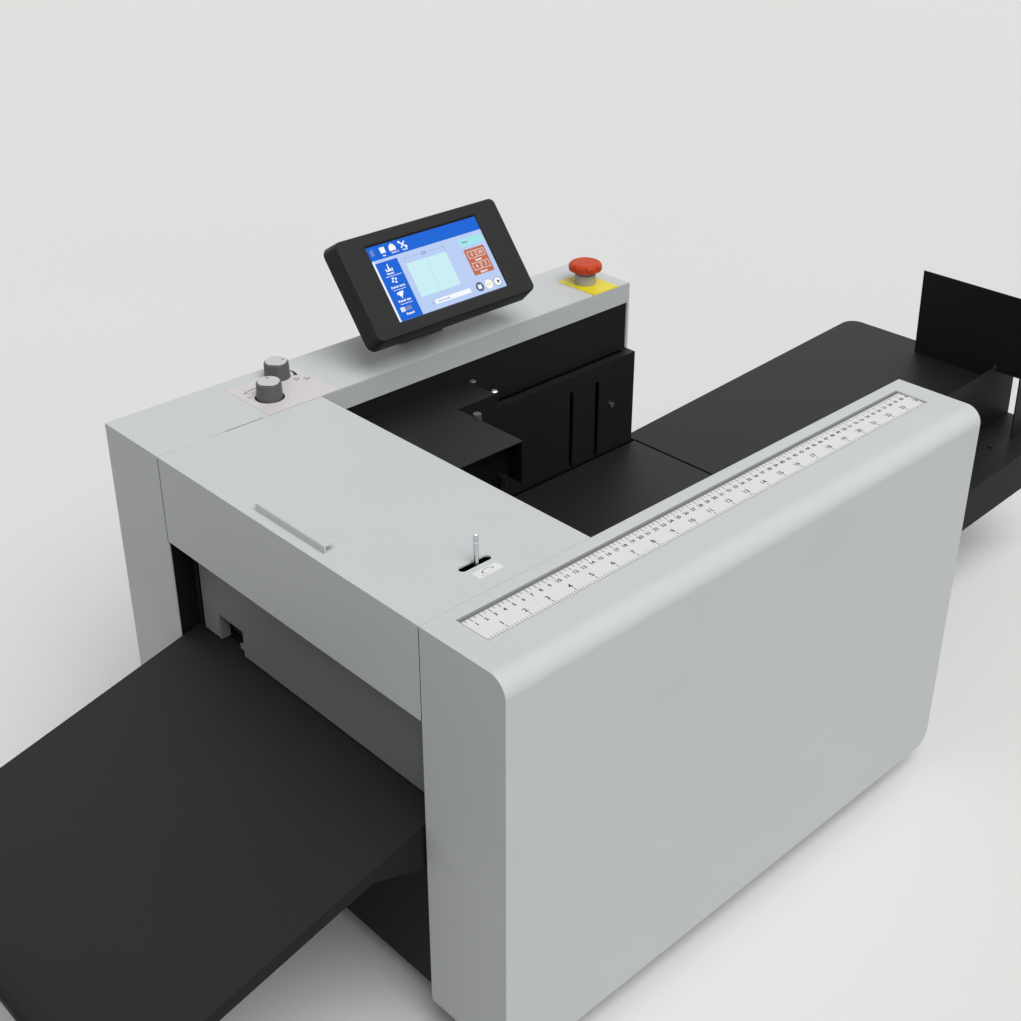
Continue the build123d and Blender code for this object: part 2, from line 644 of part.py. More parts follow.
def pins_and_screws():
    """Hinge pins, the bright pins and posts of the feed head, and the visible screws."""
    pieces = []
    left, right = ear_places()
    pieces.append(rod_x(HINGE_PIN_RADIUS, FRAME_LEFT[0] - 1, left + HINGE_EAR_WIDTH + 1, HINGE_Y, HINGE_Z))
    pieces.append(rod_x(HINGE_PIN_RADIUS, right - 1, FRAME_RIGHT[1] + 1, HINGE_Y, HINGE_Z))
    nose_back = BRIDGE_DEPTH + HEAD_NOSE_DEPTH
    for x in (HEAD_NOSE_WIDTH - HEAD_PIN_INSET, HEAD_PIN_RADIUS + 2 * MOVING_GAP):
        pin = rod_z(HEAD_PIN_RADIUS, x, nose_back + HEAD_PIN_RADIUS, head_low(), head_top() + HEAD_PIN_RISE)
        pieces.append(chamfer(pin.edges().sort_by(Axis.Z)[-1], HEAD_PIN_RADIUS * 0.3))
    head_back = BRIDGE_DEPTH + HEAD_DEPTH
    pieces.append(rod_z(HEAD_STUD_RADIUS, HEAD_NOSE_WIDTH + HEAD_STUD_OFFSET, head_back + HEAD_STUD_RADIUS,
                        head_top() - HEAD_STUD_DROP, head_top() + HEAD_STUD_RISE))
    post_x = HEAD_WIDTH - HEAD_POST_INSET[0]
    post_y = head_back - HEAD_POST_INSET[1]
    pieces.append(rod_z(HEAD_POST_RADIUS, post_x, post_y, head_low(), head_low() + HEAD_POST_HEIGHT))
    pieces.append(rod_x(SIDE_SCREW_RADIUS, SIDE_PLATE_X, SIDE_PLATE_X + SIDE_SCREW_HEIGHT,
                        SIDE_PLATE_BACK_Y - SIDE_SCREW_INSET, TOP - SIDE_SCREW_DROP))
    return group(*pieces)


def cover_handle():
    """The bent lifting lip on the cover."""
    x1 = HANDLE_FIRST_X + HANDLE_LENGTH
    wall = block(HANDLE_FIRST_X, x1, HANDLE_SETBACK, HANDLE_SETBACK + SHEET, TOP, TOP + HANDLE_HEIGHT)
    lip = block(HANDLE_FIRST_X, x1, HANDLE_SETBACK, HANDLE_SETBACK + HANDLE_LIP,
                TOP + HANDLE_HEIGHT - SHEET, TOP + HANDLE_HEIGHT)
    lip_edge = HANDLE_SETBACK + 0.1
    handle = wall + lip
    bend = handle.edges().filter_by(Axis.X).filter_by(
        lambda edge: edge.center().Z > TOP + HANDLE_HEIGHT - 0.1 and edge.center().Y < lip_edge
    )
    return fillet(bend, SHEET - 0.2)


# ---------------------------------------------------------------- rollers, bushes and drive
def roller(radius, y, z, left_end):
    """A shaft with its sleeve, running in the side frames."""
    shaft = rod_x(SHAFT_RADIUS, left_end, FRAME_RIGHT[1] + 3.0, y, z)
    sleeve = rod_x(radius, FRAME_LEFT[1] + SLEEVE_INSET, FRAME_RIGHT[0] - SLEEVE_INSET, y, z)
    return shaft + sleeve


def pulley(radius, y, z):
    """A toothed pulley with a shallow groove for each tooth."""
    wheel = rod_x(radius, PULLEY_X, PULLEY_X + PULLEY_WIDTH, y, z)
    teeth = int(2 * pi * radius / 5.0)
    for index in range(teeth):
        angle = 2 * pi * index / teeth
        wheel -= Pos(PULLEY_X + PULLEY_WIDTH / 2, y + radius * cos(angle), z + radius * sin(angle)) * Rot(
            degrees_of(angle), 0, 0) * Box(PULLEY_WIDTH + 2, 1.6, 2.2)
    return wheel


def degrees_of(angle):
    """Radians to degrees."""
    return angle * 180 / pi


def driven_roller(y):
    """A lower roller with the pulley on its long left end."""
    return roller(LOWER_ROLLER_RADIUS, y, LOWER_AXIS, PULLEY_X - 2.0) + pulley(PULLEY_RADIUS, y, LOWER_AXIS)


def nip_roller(y):
    """An upper roller that runs on the lower one."""
    return roller(UPPER_ROLLER_RADIUS, y, UPPER_AXIS, FRAME_LEFT[0] - 3.0)


def bearing_bushes():
    """A flanged bush for every shaft end in the side frames, and the crease beam's guide blocks."""
    pieces = []
    for y, z, radius in frame_holes():
        for span, flange_x in ((FRAME_LEFT, FRAME_LEFT[1]), (FRAME_RIGHT, FRAME_RIGHT[0] - THIN_SHEET)):
            bush = rod_x(radius, span[0], span[1], y, z)
            bush += rod_x(radius + 2.0, flange_x, flange_x + THIN_SHEET, y, z)
            bush -= rod_x(SHAFT_RADIUS + RUNNING_FIT, span[0] - 3, span[1] + 3, y, z)
            pieces.append(bush)
    half = CARRIER_DEPTH / 2 + 0.1
    for x0, x1 in ((FRAME_LEFT[1], FRAME_LEFT[1] + 14.0), (FRAME_RIGHT[0] - 14.0, FRAME_RIGHT[0])):
        for y0 in (CREASE_Y - half - 6.0, CREASE_Y + half):
            pieces.append(block(x0, x1, y0, y0 + 6.0, PATH + 6.0,
                                PATH + CARRIER_BASE + CARRIER_HEIGHT - 8.0))
    return group(*pieces)


def belt_loop(circles, gap, thickness, x0, x1):
    """A closed band around a set of pulleys: each circle is y, z and radius."""
    bands = []
    for extra in (gap + thickness, gap):
        arcs = [CenterArc((y, z), radius + extra, 0, 360).edge() for y, z, radius in circles]
        bands.append(Plane.YZ * make_hull(arcs))
    return Pos(x0, 0, 0) * extrude(bands[0] - bands[1], x1 - x0)


def timing_belt():
    """The toothed belt from the feed motor to the three driven shafts."""
    circles = (
        (EXIT_ROLLER_Y, LOWER_AXIS, PULLEY_RADIUS),
        (INFEED_ROLLER_Y, LOWER_AXIS, PULLEY_RADIUS),
        (BELT_DRIVE_Y, BELT_AXIS, PULLEY_RADIUS),
        (FEED_MOTOR_Y, FEED_MOTOR_Z, MOTOR_PULLEY_RADIUS),
    )
    return belt_loop(circles, MOVING_GAP, TIMING_BELT_THICKNESS, PULLEY_X + 1.0,
                     PULLEY_X + PULLEY_WIDTH - 1.0)


def motor(radius, y, z):
    """A motor body with a mounting face and an open bore for its shaft."""
    body = rod_x(radius, MOTOR_PLATE_X - MOTOR_LENGTH, MOTOR_PLATE_X, y, z)
    body += rod_x(radius * 0.5, MOTOR_PLATE_X - MOTOR_LENGTH - 2.0, MOTOR_PLATE_X, y, z)
    body -= rod_x(4.0 + RUNNING_FIT, MOTOR_PLATE_X - 20.0, MOTOR_PLATE_X + 1.0, y, z)
    return body


def motor_plate(radius, y, z, posts):
    """A plate on three posts that carries a motor off the inner wall."""
    thickness = 3.0
    reach = radius + 12.0
    plate = block(MOTOR_PLATE_X, MOTOR_PLATE_X + thickness, y - reach, y + reach, z - reach, z + reach)
    plate -= rod_x(8.0, MOTOR_PLATE_X - 1, MOTOR_PLATE_X + 4, y, z)
    for post_y, post_z in posts:
        plate += rod_x(4.0, MOTOR_PLATE_X + thickness / 2, WALL_LEFT - SHEET, y + post_y, z + post_z)
    return plate


def drive_motors():
    """The feed motor and the crease motor, each with its plate."""
    feed_posts = ((0, 42), (-38, -36), (38, -36))
    crease_posts = ((-34, 4), (34, 4), (0, -34))
    return group(
        motor(FEED_MOTOR_RADIUS, FEED_MOTOR_Y, FEED_MOTOR_Z),
        motor_plate(FEED_MOTOR_RADIUS, FEED_MOTOR_Y, FEED_MOTOR_Z, feed_posts),
        motor(CREASE_MOTOR_RADIUS, CREASE_Y, PINION_Z),
        motor_plate(CREASE_MOTOR_RADIUS, CREASE_Y, PINION_Z, crease_posts),
    )


def motor_pulley():
    """The pulley and shaft of the feed motor."""
    return pulley(MOTOR_PULLEY_RADIUS, FEED_MOTOR_Y, FEED_MOTOR_Z) + rod_x(
        4.0, MOTOR_PLATE_X - 18.0, PULLEY_X + 1.0, FEED_MOTOR_Y, FEED_MOTOR_Z)


# ---------------------------------------------------------------- crease unit
def involute_gear(teeth, thickness, first_angle):
    """A spur gear in the YZ plane about its own axis, with straight-cut involute teeth."""
    pitch = GEAR_MODULE * teeth / 2
    base = pitch * cos(radians(20))
    outer = pitch + GEAR_MODULE
    root = pitch - 1.25 * GEAR_MODULE
    start = max(base, root + 0.2)
    half_tooth = pi / (2 * teeth) - GEAR_BACKLASH / (2 * pitch)
    half_tooth += tan(radians(20)) - radians(20)

    def flank(radius):
        """Angle from a tooth's middle to its flank at this radius."""
        roll = sqrt(max((radius / base) ** 2 - 1, 0))
        return half_tooth - (roll - atan_of(roll))

    steps = 5
    radii = [start + (outer - start) * step / steps for step in range(steps + 1)]
    points = []
    for tooth in range(teeth):
        middle = first_angle + 2 * pi * tooth / teeth
        points.append((root, middle - flank(start)))
        points.extend((radius, middle - flank(radius)) for radius in radii)
        points.extend((radius, middle + flank(radius)) for radius in reversed(radii))
        points.append((root, middle + flank(start)))
    outline = Polyline(*[(r * cos(a), r * sin(a)) for r, a in points], close=True)
    face = Plane.YZ * make_face(outline)
    return extrude(face, thickness)


def atan_of(value):
    """Arc tangent by the half-angle of a right triangle."""
    return Vector(1, 0).get_angle(Vector(1, value)) * pi / 180


def eccentric_shaft():
    """The crease shaft with its two eccentric discs and the driven gear."""
    shaft = rod_x(SHAFT_RADIUS, GEAR_X - 2.0, FRAME_RIGHT[1] + 3.0, CREASE_Y, CRANK_Z)
    for x in YOKE_PLACES:
        shaft += rod_x(ECCENTRIC_RADIUS, x, x + ECCENTRIC_WIDTH, DISC_Y, DISC_Z)
    gear = Pos(GEAR_X, CREASE_Y, CRANK_Z) * involute_gear(GEAR_TEETH, GEAR_WIDTH, -pi / 2)
    return shaft + gear


def crease_pinion():
    """The crease motor's pinion and shaft, one tooth gap facing the gear."""
    gap_up = pi / 2 + pi / PINION_TEETH
    pinion = Pos(GEAR_X, CREASE_Y, PINION_Z) * involute_gear(PINION_TEETH, GEAR_WIDTH, gap_up)
    return pinion + rod_x(4.0, MOTOR_PLATE_X - 18.0, GEAR_X + 1.0, CREASE_Y, PINION_Z)


def blade_carrier():
    """The crease beam with a yoke around each eccentric disc, and the blade set in it."""
    x0 = FRAME_LEFT[1] + 2.0
    x1 = FRAME_RIGHT[0] - 2.0
    half = CARRIER_DEPTH / 2
    low = PATH + CARRIER_BASE
    high = low + CARRIER_HEIGHT
    beam = block(x0, x1, CREASE_Y - half, CREASE_Y + half, low, high)
    window = ECCENTRIC_RADIUS + MOVING_GAP
    slack = ECCENTRIC_THROW * (1 - cos(radians(ECCENTRIC_REST_ANGLE))) + MOVING_GAP
    yoke_top = DISC_Z + window + YOKE_WALL
    for x in YOKE_PLACES:
        y0 = DISC_Y - window
        y1 = DISC_Y + window + slack
        yoke = block(x + 1, x + ECCENTRIC_WIDTH - 1, y0 - YOKE_WALL, y1 + YOKE_WALL, high - 1, yoke_top)
        yoke -= block(x, x + ECCENTRIC_WIDTH, y0, y1, DISC_Z - window, DISC_Z + window)
        beam += yoke
    groove = BLADE_THICKNESS / 2
    beam -= block(x0 - 1, x1 + 1, CREASE_Y - groove, CREASE_Y + groove, low - 1, low + 10)
    blade = block(x0 + 6, x1 - 6, CREASE_Y - groove, CREASE_Y + groove, PATH + BLADE_LIFT, low + 10)
    tip = blade.edges().filter_by(Axis.X).sort_by(Axis.Z)[0:2]
    blade = chamfer(tip, groove * 0.6)
    return group(beam, blade)


def crease_anvil():
    """The grooved bar under the blade."""
    half = ANVIL_DEPTH / 2
    top = PATH - 1.0
    anvil = block(FRAME_LEFT[1], FRAME_RIGHT[0], CREASE_Y - half, CREASE_Y + half, top - ANVIL_HEIGHT, top)
    groove = BLADE_THICKNESS / 2 + 0.8
    depth = ECCENTRIC_THROW - BLADE_LIFT + 1.5
    anvil -= block(0, THROAT_WIDTH, CREASE_Y - groove, CREASE_Y + groove, top - depth, top + 1)
    return anvil


def paper_guides():
    """The sheet guides above and below the path, between the side frames."""
    x0 = FRAME_LEFT[1]
    x1 = FRAME_RIGHT[0]
    low_clear = 12.0
    up_clear = 10.5
    anvil_half = ANVIL_DEPTH / 2 + 1.0
    z = PATH - GUIDE_GAP
    lower_spans = (
        (TRAY_BACK_Y + SHEET + THIN_SHEET + 1.0, EXIT_ROLLER_Y - low_clear),
        (EXIT_ROLLER_Y + low_clear, CREASE_Y - anvil_half),
        (CREASE_Y + anvil_half, INFEED_ROLLER_Y - low_clear),
    )
    pieces = [block(x0, x1, y0, y1, z - THIN_SHEET, z) for y0, y1 in lower_spans]
    z = PATH + GUIDE_GAP
    upper_spans = (
        (EXIT_PLATE_SETBACK + EXIT_RETURN + 1.0, EXIT_ROLLER_Y - up_clear + 1.0),
        (EXIT_ROLLER_Y + up_clear, CREASE_Y - 18.0),
        (CREASE_Y + 18.0, INFEED_ROLLER_Y - up_clear),
    )
    pieces += [block(x0, x1, y0, y1, z, z + THIN_SHEET) for y0, y1 in upper_spans if y1 - y0 > 2]
    ramp_y0 = INFEED_ROLLER_Y + low_clear
    profile = Polyline(
        (ramp_y0, PATH - GUIDE_GAP - THIN_SHEET), (ramp_y0, PATH - GUIDE_GAP),
        (FRAME_BACK_Y - 2.0, PATH - GUIDE_GAP), (BED_FRONT_Y - 1.0, BED_TOP),
        (BED_FRONT_Y - 1.0, BED_TOP - THIN_SHEET), (FRAME_BACK_Y - 2.0, PATH - GUIDE_GAP - THIN_SHEET),
        close=True,
    )
    ramp = Pos(x0, 0, 0) * extrude(Plane.YZ * make_face(profile), x1 - x0)
    pieces.append(ramp)
    return group(*pieces)


def release_lever():
    """The lever rod on its cross shaft, with two pressure cams."""
    shaft = rod_x(SHAFT_RADIUS, FRAME_LEFT[0] - 3.0, FRAME_RIGHT[1] + 3.0, LEVER_Y, LEVER_Z)
    shaft += rod_x(LEVER_HUB_RADIUS, SLOT_X - 9, SLOT_X + 9, LEVER_Y, LEVER_Z)
    for x in LEVER_CAM_PLACES:
        shaft += rod_x(LEVER_CAM_RADIUS, x, x + LEVER_CAM_WIDTH, LEVER_Y + LEVER_CAM_THROW, LEVER_Z)
    lever = rod_z(LEVER_ROD_RADIUS, SLOT_X, LEVER_Y, LEVER_Z, TOP + LEVER_RISE)
    lever = chamfer(lever.edges().sort_by(Axis.Z)[-1], 0.6)
    groove_z = TOP + LEVER_RISE - LEVER_GROOVE_DROP
    ring = rod_z(LEVER_ROD_RADIUS + 1, SLOT_X, LEVER_Y, groove_z - 0.6, groove_z + 0.6)
    ring -= rod_z(LEVER_ROD_RADIUS - 0.4, SLOT_X, LEVER_Y, groove_z - 1, groove_z + 1)
    lever -= ring
    lever -= rod_z(0.8, SLOT_X, LEVER_Y, TOP + LEVER_RISE - 2.5, TOP + LEVER_RISE + 1)
    return shaft + lever


# ---------------------------------------------------------------- feed bed and vacuum feed
def feed_bed():
    """The bed plate with its belt and guide slots, and the two rails that carry it."""
    x1 = WALL_RIGHT
    bed = block(BED_LEFT_X, x1 - 2 * SHEET, BED_FRONT_Y, BODY_LENGTH - 0.5, BED_TOP - SHEET, BED_TOP)
    margin = 2.0
    slot_y0 = BELT_DRIVE_Y - BELT_ROLLER_RADIUS - 4.0
    slot_y1 = BELT_IDLER_Y + BELT_ROLLER_RADIUS + 4.0
    for x in BELT_PLACES:
        half = BELT_WIDTH / 2 + margin
        bed -= block(x - half, x + half, slot_y0, slot_y1, BED_TOP - 2 * SHEET, BED_TOP + 1)
    slot_half = GUIDE_STUD_RADIUS + MOVING_GAP
    stud_x = SIDE_GUIDE_X + GUIDE_STUD_OFFSET
    slot_end = 2 * GUIDE_STUD_RADIUS
    for y in SIDE_GUIDE_SLOTS:
        bed -= block(stud_x - SIDE_GUIDE_TRAVEL - slot_end, stud_x + slot_end, y - slot_half,
                     y + slot_half, BED_TOP - 2 * SHEET, BED_TOP + 1)
    rail_y0 = BED_FRONT_Y
    rail_y1 = REAR_PANEL_Y - 2 * SHEET
    rail_top = BED_TOP - SHEET
    left = block(WALL_LEFT, WALL_LEFT + RAIL_WIDTH, rail_y0, rail_y1, rail_top - SHEET, rail_top)
    left += block(WALL_LEFT, WALL_LEFT + SHEET, rail_y0, rail_y1, rail_top - RAIL_DROP, rail_top)
    left -= rod_x(SHAFT_RADIUS + 2, WALL_LEFT - 1, WALL_LEFT + SHEET + 1, BELT_DRIVE_Y, BELT_AXIS)
    right = block(x1 - RIGHT_RAIL_WIDTH, x1, rail_y0, rail_y1, rail_top - SHEET, rail_top)
    right += block(x1 - SHEET, x1, rail_y0, rail_y1, rail_top - RAIL_DROP, rail_top)
    right -= rod_x(DUCT_RADIUS, x1 - 2 * SHEET, x1 + 1, BLOWER_Y, suction_axis())
    return group(bed, left, right)


def suction_axis():
    """Height of the suction duct's axis."""
    return BELT_AXIS - 1.0


def side_plate():
    """The slotted side plate: top flange toward the tower, foot under the end of the bed."""
    x0 = SIDE_PLATE_X - THIN_SHEET
    foot = BED_TOP - SHEET
    plate = block(x0, SIDE_PLATE_X, SIDE_PLATE_FRONT_Y, SIDE_PLATE_BACK_Y, foot, SIDE_PLATE_TOP)
    plate += block(WALL_LEFT, SIDE_PLATE_X, SIDE_PLATE_FRONT_Y, SIDE_PLATE_BACK_Y,
                   SIDE_PLATE_TOP - THIN_SHEET, SIDE_PLATE_TOP)
    plate += block(x0, SIDE_PLATE_X + SIDE_PLATE_FOOT, REAR_PANEL_Y + MOVING_GAP, SIDE_PLATE_BACK_Y,
                   foot - THIN_SHEET, foot)
    for y in AIR_SLOT_PLACES:
        half = AIR_SLOT_WIDTH / 2
        plate -= block(x0 - 1, SIDE_PLATE_X + 1, y - half, y + half, BED_TOP, TOP - AIR_SLOT_TOP_DROP)
    return plate


def air_duct_y():
    """Where the air duct crosses under the bed."""
    return sum(AIR_SLOT_PLACES) / len(AIR_SLOT_PLACES)


def air_duct_z():
    """Height of the air duct's axis, clear below the bed rails."""
    return BED_TOP - SHEET - RAIL_DROP - DUCT_RADIUS - 2 * SHEET


def air_ducts():
    """The slotted air box behind the side plate, and the ducts to and from the blower."""
    x0 = WALL_LEFT
    x1 = SIDE_PLATE_X - THIN_SHEET
    y0 = AIR_SLOT_PLACES[0] - AIR_BOX_MARGIN
    y1 = AIR_SLOT_PLACES[-1] + AIR_BOX_MARGIN
    top = TOP - AIR_SLOT_TOP_DROP + 6
    foot = BED_TOP - SHEET
    box = block(x0, x1, y0, y1, foot, top)
    box -= block(x0 + THIN_SHEET, x1 + 1, y0 + THIN_SHEET, y1 - THIN_SHEET, foot + THIN_SHEET,
                 top - THIN_SHEET)
    inner = DUCT_RADIUS - DUCT_WALL
    suction_left = BELT_FRAME_RIGHT + BELT_FRAME_THICKNESS
    suction = rod_x(DUCT_RADIUS, suction_left, blower_left(), BLOWER_Y, suction_axis())
    suction -= rod_x(inner, BELT_FRAME_RIGHT, blower_left() + 1, BLOWER_Y, suction_axis())
    feed_x = blower_left() + BLOWER_WIDTH / 2
    route = FilletPolyline(
        (SIDE_PLATE_X, air_duct_y(), air_duct_z()), (feed_x, air_duct_y(), air_duct_z()),
        (feed_x, BLOWER_Y + BLOWER_RADIUS - 2, air_duct_z()), radius=2.2 * DUCT_RADIUS)
    start = Plane(origin=route @ 0, z_dir=route % 0)
    duct = sweep(start * Circle(DUCT_RADIUS), path=route) - sweep(start * Circle(inner), path=route)
    duct -= blower_drum(0)
    riser = rod_z(DUCT_RADIUS - 2, SIDE_PLATE_X / 2 + 1, air_duct_y(), air_duct_z(), foot - SHEET)
    riser_cap = rod_x(DUCT_RADIUS, 2.0, SIDE_PLATE_X, air_duct_y(), air_duct_z())
    elbow = riser + riser_cap
    return group(box, suction, duct, elbow)


def blower_left():
    """The face of the inner wall that the blower is bolted to."""
    return WALL_RIGHT + SHEET


def blower_axis():
    """Height of the blower's axis."""
    return suction_axis()


def blower_drum(extra):
    """The blower's round outside."""
    return rod_x(BLOWER_RADIUS + extra, blower_left(), blower_left() + BLOWER_WIDTH, BLOWER_Y, blower_axis())


def blower():
    """The blower housing, open at the duct, and its motor."""
    housing = blower_drum(0)
    x0 = blower_left()
    x1 = x0 + BLOWER_WIDTH
    housing -= rod_x(BLOWER_RADIUS - 3, x0 + 3, x1 - 3, BLOWER_Y, blower_axis())
    housing -= rod_x(DUCT_RADIUS - DUCT_WALL, x0 - 1, x0 + 4, BLOWER_Y, blower_axis())
    housing -= rod_x(8.0, x1 - 4, x1 + 1, BLOWER_Y, blower_axis())
    mouth_z = air_duct_z()
    middle_x = x0 + BLOWER_WIDTH / 2
    housing -= rod_y(DUCT_RADIUS - DUCT_WALL, middle_x, BLOWER_Y + 30, BLOWER_Y + BLOWER_RADIUS + 2,
                     mouth_z)
    motor_end = min(x1 + 36, CASING_RIGHT - SHEET - 2)
    drive = rod_x(30.0, x1, motor_end, BLOWER_Y, blower_axis())
    drive -= rod_x(4.0 + RUNNING_FIT, x1 - 1, x1 + 22, BLOWER_Y, blower_axis())
    return group(housing, drive)


def blower_impeller():
    """The fan wheel on the blower motor's shaft."""
    x0 = blower_left() + 6
    x1 = blower_left() + BLOWER_WIDTH - 6
    rim = BLOWER_RADIUS - 10
    wheel = rod_x(rim, x1 - 3, x1, BLOWER_Y, blower_axis())
    wheel += rod_x(9.0, x1 - 12, x1, BLOWER_Y, blower_axis())
    wheel += rod_x(4.0, x1 - 5, blower_left() + BLOWER_WIDTH + 20, BLOWER_Y, blower_axis())
    for index in range(IMPELLER_BLADES):
        angle = 360 * index / IMPELLER_BLADES
        blade = block(x0, x1 - 2, rim - 16, rim - 1, -1, 1)
        wheel += Pos(0, BLOWER_Y, blower_axis()) * Rot(angle, 0, 0) * blade
    return wheel


def suction_box():
    """The vacuum box between the belt runs, and the plates that carry the belt rollers."""
    y0 = BELT_DRIVE_Y + BELT_ROLLER_RADIUS + 3
    y1 = BELT_IDLER_Y - BELT_ROLLER_RADIUS - 3
    top = BED_TOP - SHEET
    inner_x0 = BELT_FRAME_LEFT
    inner_x1 = BELT_FRAME_RIGHT
    box = block(inner_x0, inner_x1, y0, y1, top - SUCTION_BOX_HEIGHT, top)
    box -= block(inner_x0 + SHEET, inner_x1 - SHEET, y0 + SHEET, y1 - SHEET,
                 top - SUCTION_BOX_HEIGHT + SHEET, top - SHEET)
    for x in BELT_PLACES:
        for y in (y0 + SUCTION_SLOT_INSET, (y0 + y1) / 2, y1 - SUCTION_SLOT_INSET):
            box -= Pos(x, y, top) * Box(SUCTION_SLOT_WIDTH, SUCTION_SLOT_LENGTH, 3 * SHEET)
    box -= rod_x(DUCT_RADIUS - DUCT_WALL, inner_x1 - 3, inner_x1 + 1, BLOWER_Y, suction_axis())
    plates = []
    for x in (BELT_FRAME_LEFT - BELT_FRAME_THICKNESS, BELT_FRAME_RIGHT):
        plate = block(x, x + BELT_FRAME_THICKNESS, BELT_DRIVE_Y - BELT_FRAME_OVERHANG,
                      BELT_IDLER_Y + BELT_FRAME_OVERHANG, BELT_AXIS - BELT_FRAME_DROP, BED_TOP - SHEET)
        for y in (BELT_DRIVE_Y, BELT_IDLER_Y):
            plate -= rod_x(SHAFT_RADIUS + RUNNING_FIT, x - 1, x + BELT_FRAME_THICKNESS + 1, y, BELT_AXIS)
        if x > BELT_FRAME_LEFT:
            plate -= rod_x(DUCT_RADIUS - DUCT_WALL, x - 1, x + 5, BLOWER_Y, suction_axis())
        plates.append(plate)
    return group(box, *plates)


def vacuum_belts():
    """Three perforated belts around the two belt rollers."""
    circles = ((BELT_DRIVE_Y, BELT_AXIS, BELT_ROLLER_RADIUS), (BELT_IDLER_Y, BELT_AXIS, BELT_ROLLER_RADIUS))
    belts = []
    for x in BELT_PLACES:
        x0 = x - BELT_WIDTH / 2
        belt = belt_loop(circles, MOVING_GAP, BELT_THICKNESS, x0, x0 + BELT_WIDTH)
        hole_y = BELT_DRIVE_Y + 7
        while hole_y < BELT_IDLER_Y:
            for dx in (-9, 9):
                belt -= rod_z(2.5, x + dx, hole_y, BELT_TOP - 3, BELT_TOP + 1)
            hole_y += 20
        belts.append(belt)
    return group(*belts)


def belt_roller(y, left_end):
    """A roller that carries the three vacuum belts."""
    shaft = rod_x(SHAFT_RADIUS, left_end, BELT_FRAME_RIGHT + BELT_FRAME_THICKNESS + 3, y, BELT_AXIS)
    half = BELT_WIDTH / 2 + 1
    for x in BELT_PLACES:
        shaft += rod_x(BELT_ROLLER_RADIUS, x - half, x + half, y, BELT_AXIS)
    return shaft


def belt_drive_roller():
    """The driven belt roller with its pulley inside the tower."""
    return belt_roller(BELT_DRIVE_Y, PULLEY_X - 2) + pulley(PULLEY_RADIUS, BELT_DRIVE_Y, BELT_AXIS)


def side_guide():
    """The sliding sheet guide with its foot, slot studs and clamp nuts."""
    y0 = SIDE_GUIDE_SLOTS[0] - SIDE_GUIDE_OVERHANG
    y1 = SIDE_GUIDE_SLOTS[1] + SIDE_GUIDE_OVERHANG
    base = BED_TOP + MOVING_GAP
    foot_top = base + THIN_SHEET
    nut_top = BED_TOP - SHEET - MOVING_GAP
    stud_x = SIDE_GUIDE_X + GUIDE_STUD_OFFSET
    guide = block(SIDE_GUIDE_X, SIDE_GUIDE_X + THIN_SHEET, y0, y1, base, base + SIDE_GUIDE_HEIGHT)
    guide += block(SIDE_GUIDE_X, SIDE_GUIDE_X + SIDE_GUIDE_FOOT, y0, y1, base, foot_top)
    for y in SIDE_GUIDE_SLOTS:
        guide += rod_z(GUIDE_STUD_RADIUS, stud_x, y, BED_TOP - SHEET - GUIDE_STUD_DROP,
                       base + GUIDE_STUD_RISE)
        guide += rod_z(GUIDE_KNOB_RADIUS, stud_x, y, foot_top, foot_top + GUIDE_KNOB_HEIGHT)
        guide += rod_z(GUIDE_NUT_RADIUS, stud_x, y, nut_top - GUIDE_NUT_HEIGHT, nut_top)
    return guide


# ---------------------------------------------------------------- feed head
def head_top():
    """Top of the feed head cover."""
    return TOP - HEAD_TOP_DROP


def head_low():
    """Lower edge of the feed head cover."""
    return TOP - HEAD_TOP_DROP - HEAD_HEIGHT


def head_outline(inset, z0, z1):
    """The stepped plan of the feed head between two heights."""
    x0 = WALL_LEFT
    y0 = BRIDGE_DEPTH + inset
    wide = block(x0, HEAD_WIDTH - inset, y0, BRIDGE_DEPTH + HEAD_DEPTH - inset, z0, z1)
    nose = block(x0, HEAD_NOSE_WIDTH - inset, y0, BRIDGE_DEPTH + HEAD_NOSE_DEPTH - inset, z0, z1)
    return wide + nose


def feed_head_cover():
    """The black stepped cover over the feed head, open underneath, with its right wall set back."""
    low = head_low()
    roof = head_top() - THIN_SHEET
    cover = head_outline(0, low, head_top())
    hollow = head_outline(THIN_SHEET, low - 1, roof)
    hollow &= block(WALL_LEFT + THIN_SHEET, THROAT_WIDTH, 0, BODY_LENGTH, 0, TOP)
    cover -= hollow
    wall_x = HEAD_WIDTH - HEAD_WALL_INSET
    y0 = BRIDGE_DEPTH + THIN_SHEET / 2
    y1 = BRIDGE_DEPTH + HEAD_DEPTH - THIN_SHEET
    cover -= block(HEAD_WIDTH - 2 * THIN_SHEET, HEAD_WIDTH + 1, y0 + THIN_SHEET / 2, y1, low - 1, roof)
    cover += block(wall_x - THIN_SHEET, wall_x, y0, y1 + THIN_SHEET / 2, low, roof + THIN_SHEET / 2)
    post_y = BRIDGE_DEPTH + HEAD_DEPTH - HEAD_POST_INSET[1]
    shelf_x = HEAD_WIDTH - HEAD_POST_INSET[0] + HEAD_POST_RADIUS
    cover += block(wall_x - THIN_SHEET / 2, shelf_x, post_y - HEAD_POST_RADIUS, post_y + HEAD_POST_RADIUS,
                   low - THIN_SHEET, low)
    return cover


# ---------------------------------------------------------------- extension and back stop
def sloped(shape):
    """Turn a part from level to the slope of the extension, about the end of the bed."""
    pivot = Pos(0, BODY_LENGTH, BED_TOP)
    return pivot * Rot(EXTENSION_SLOPE, 0, 0) * pivot.inverse() * shape


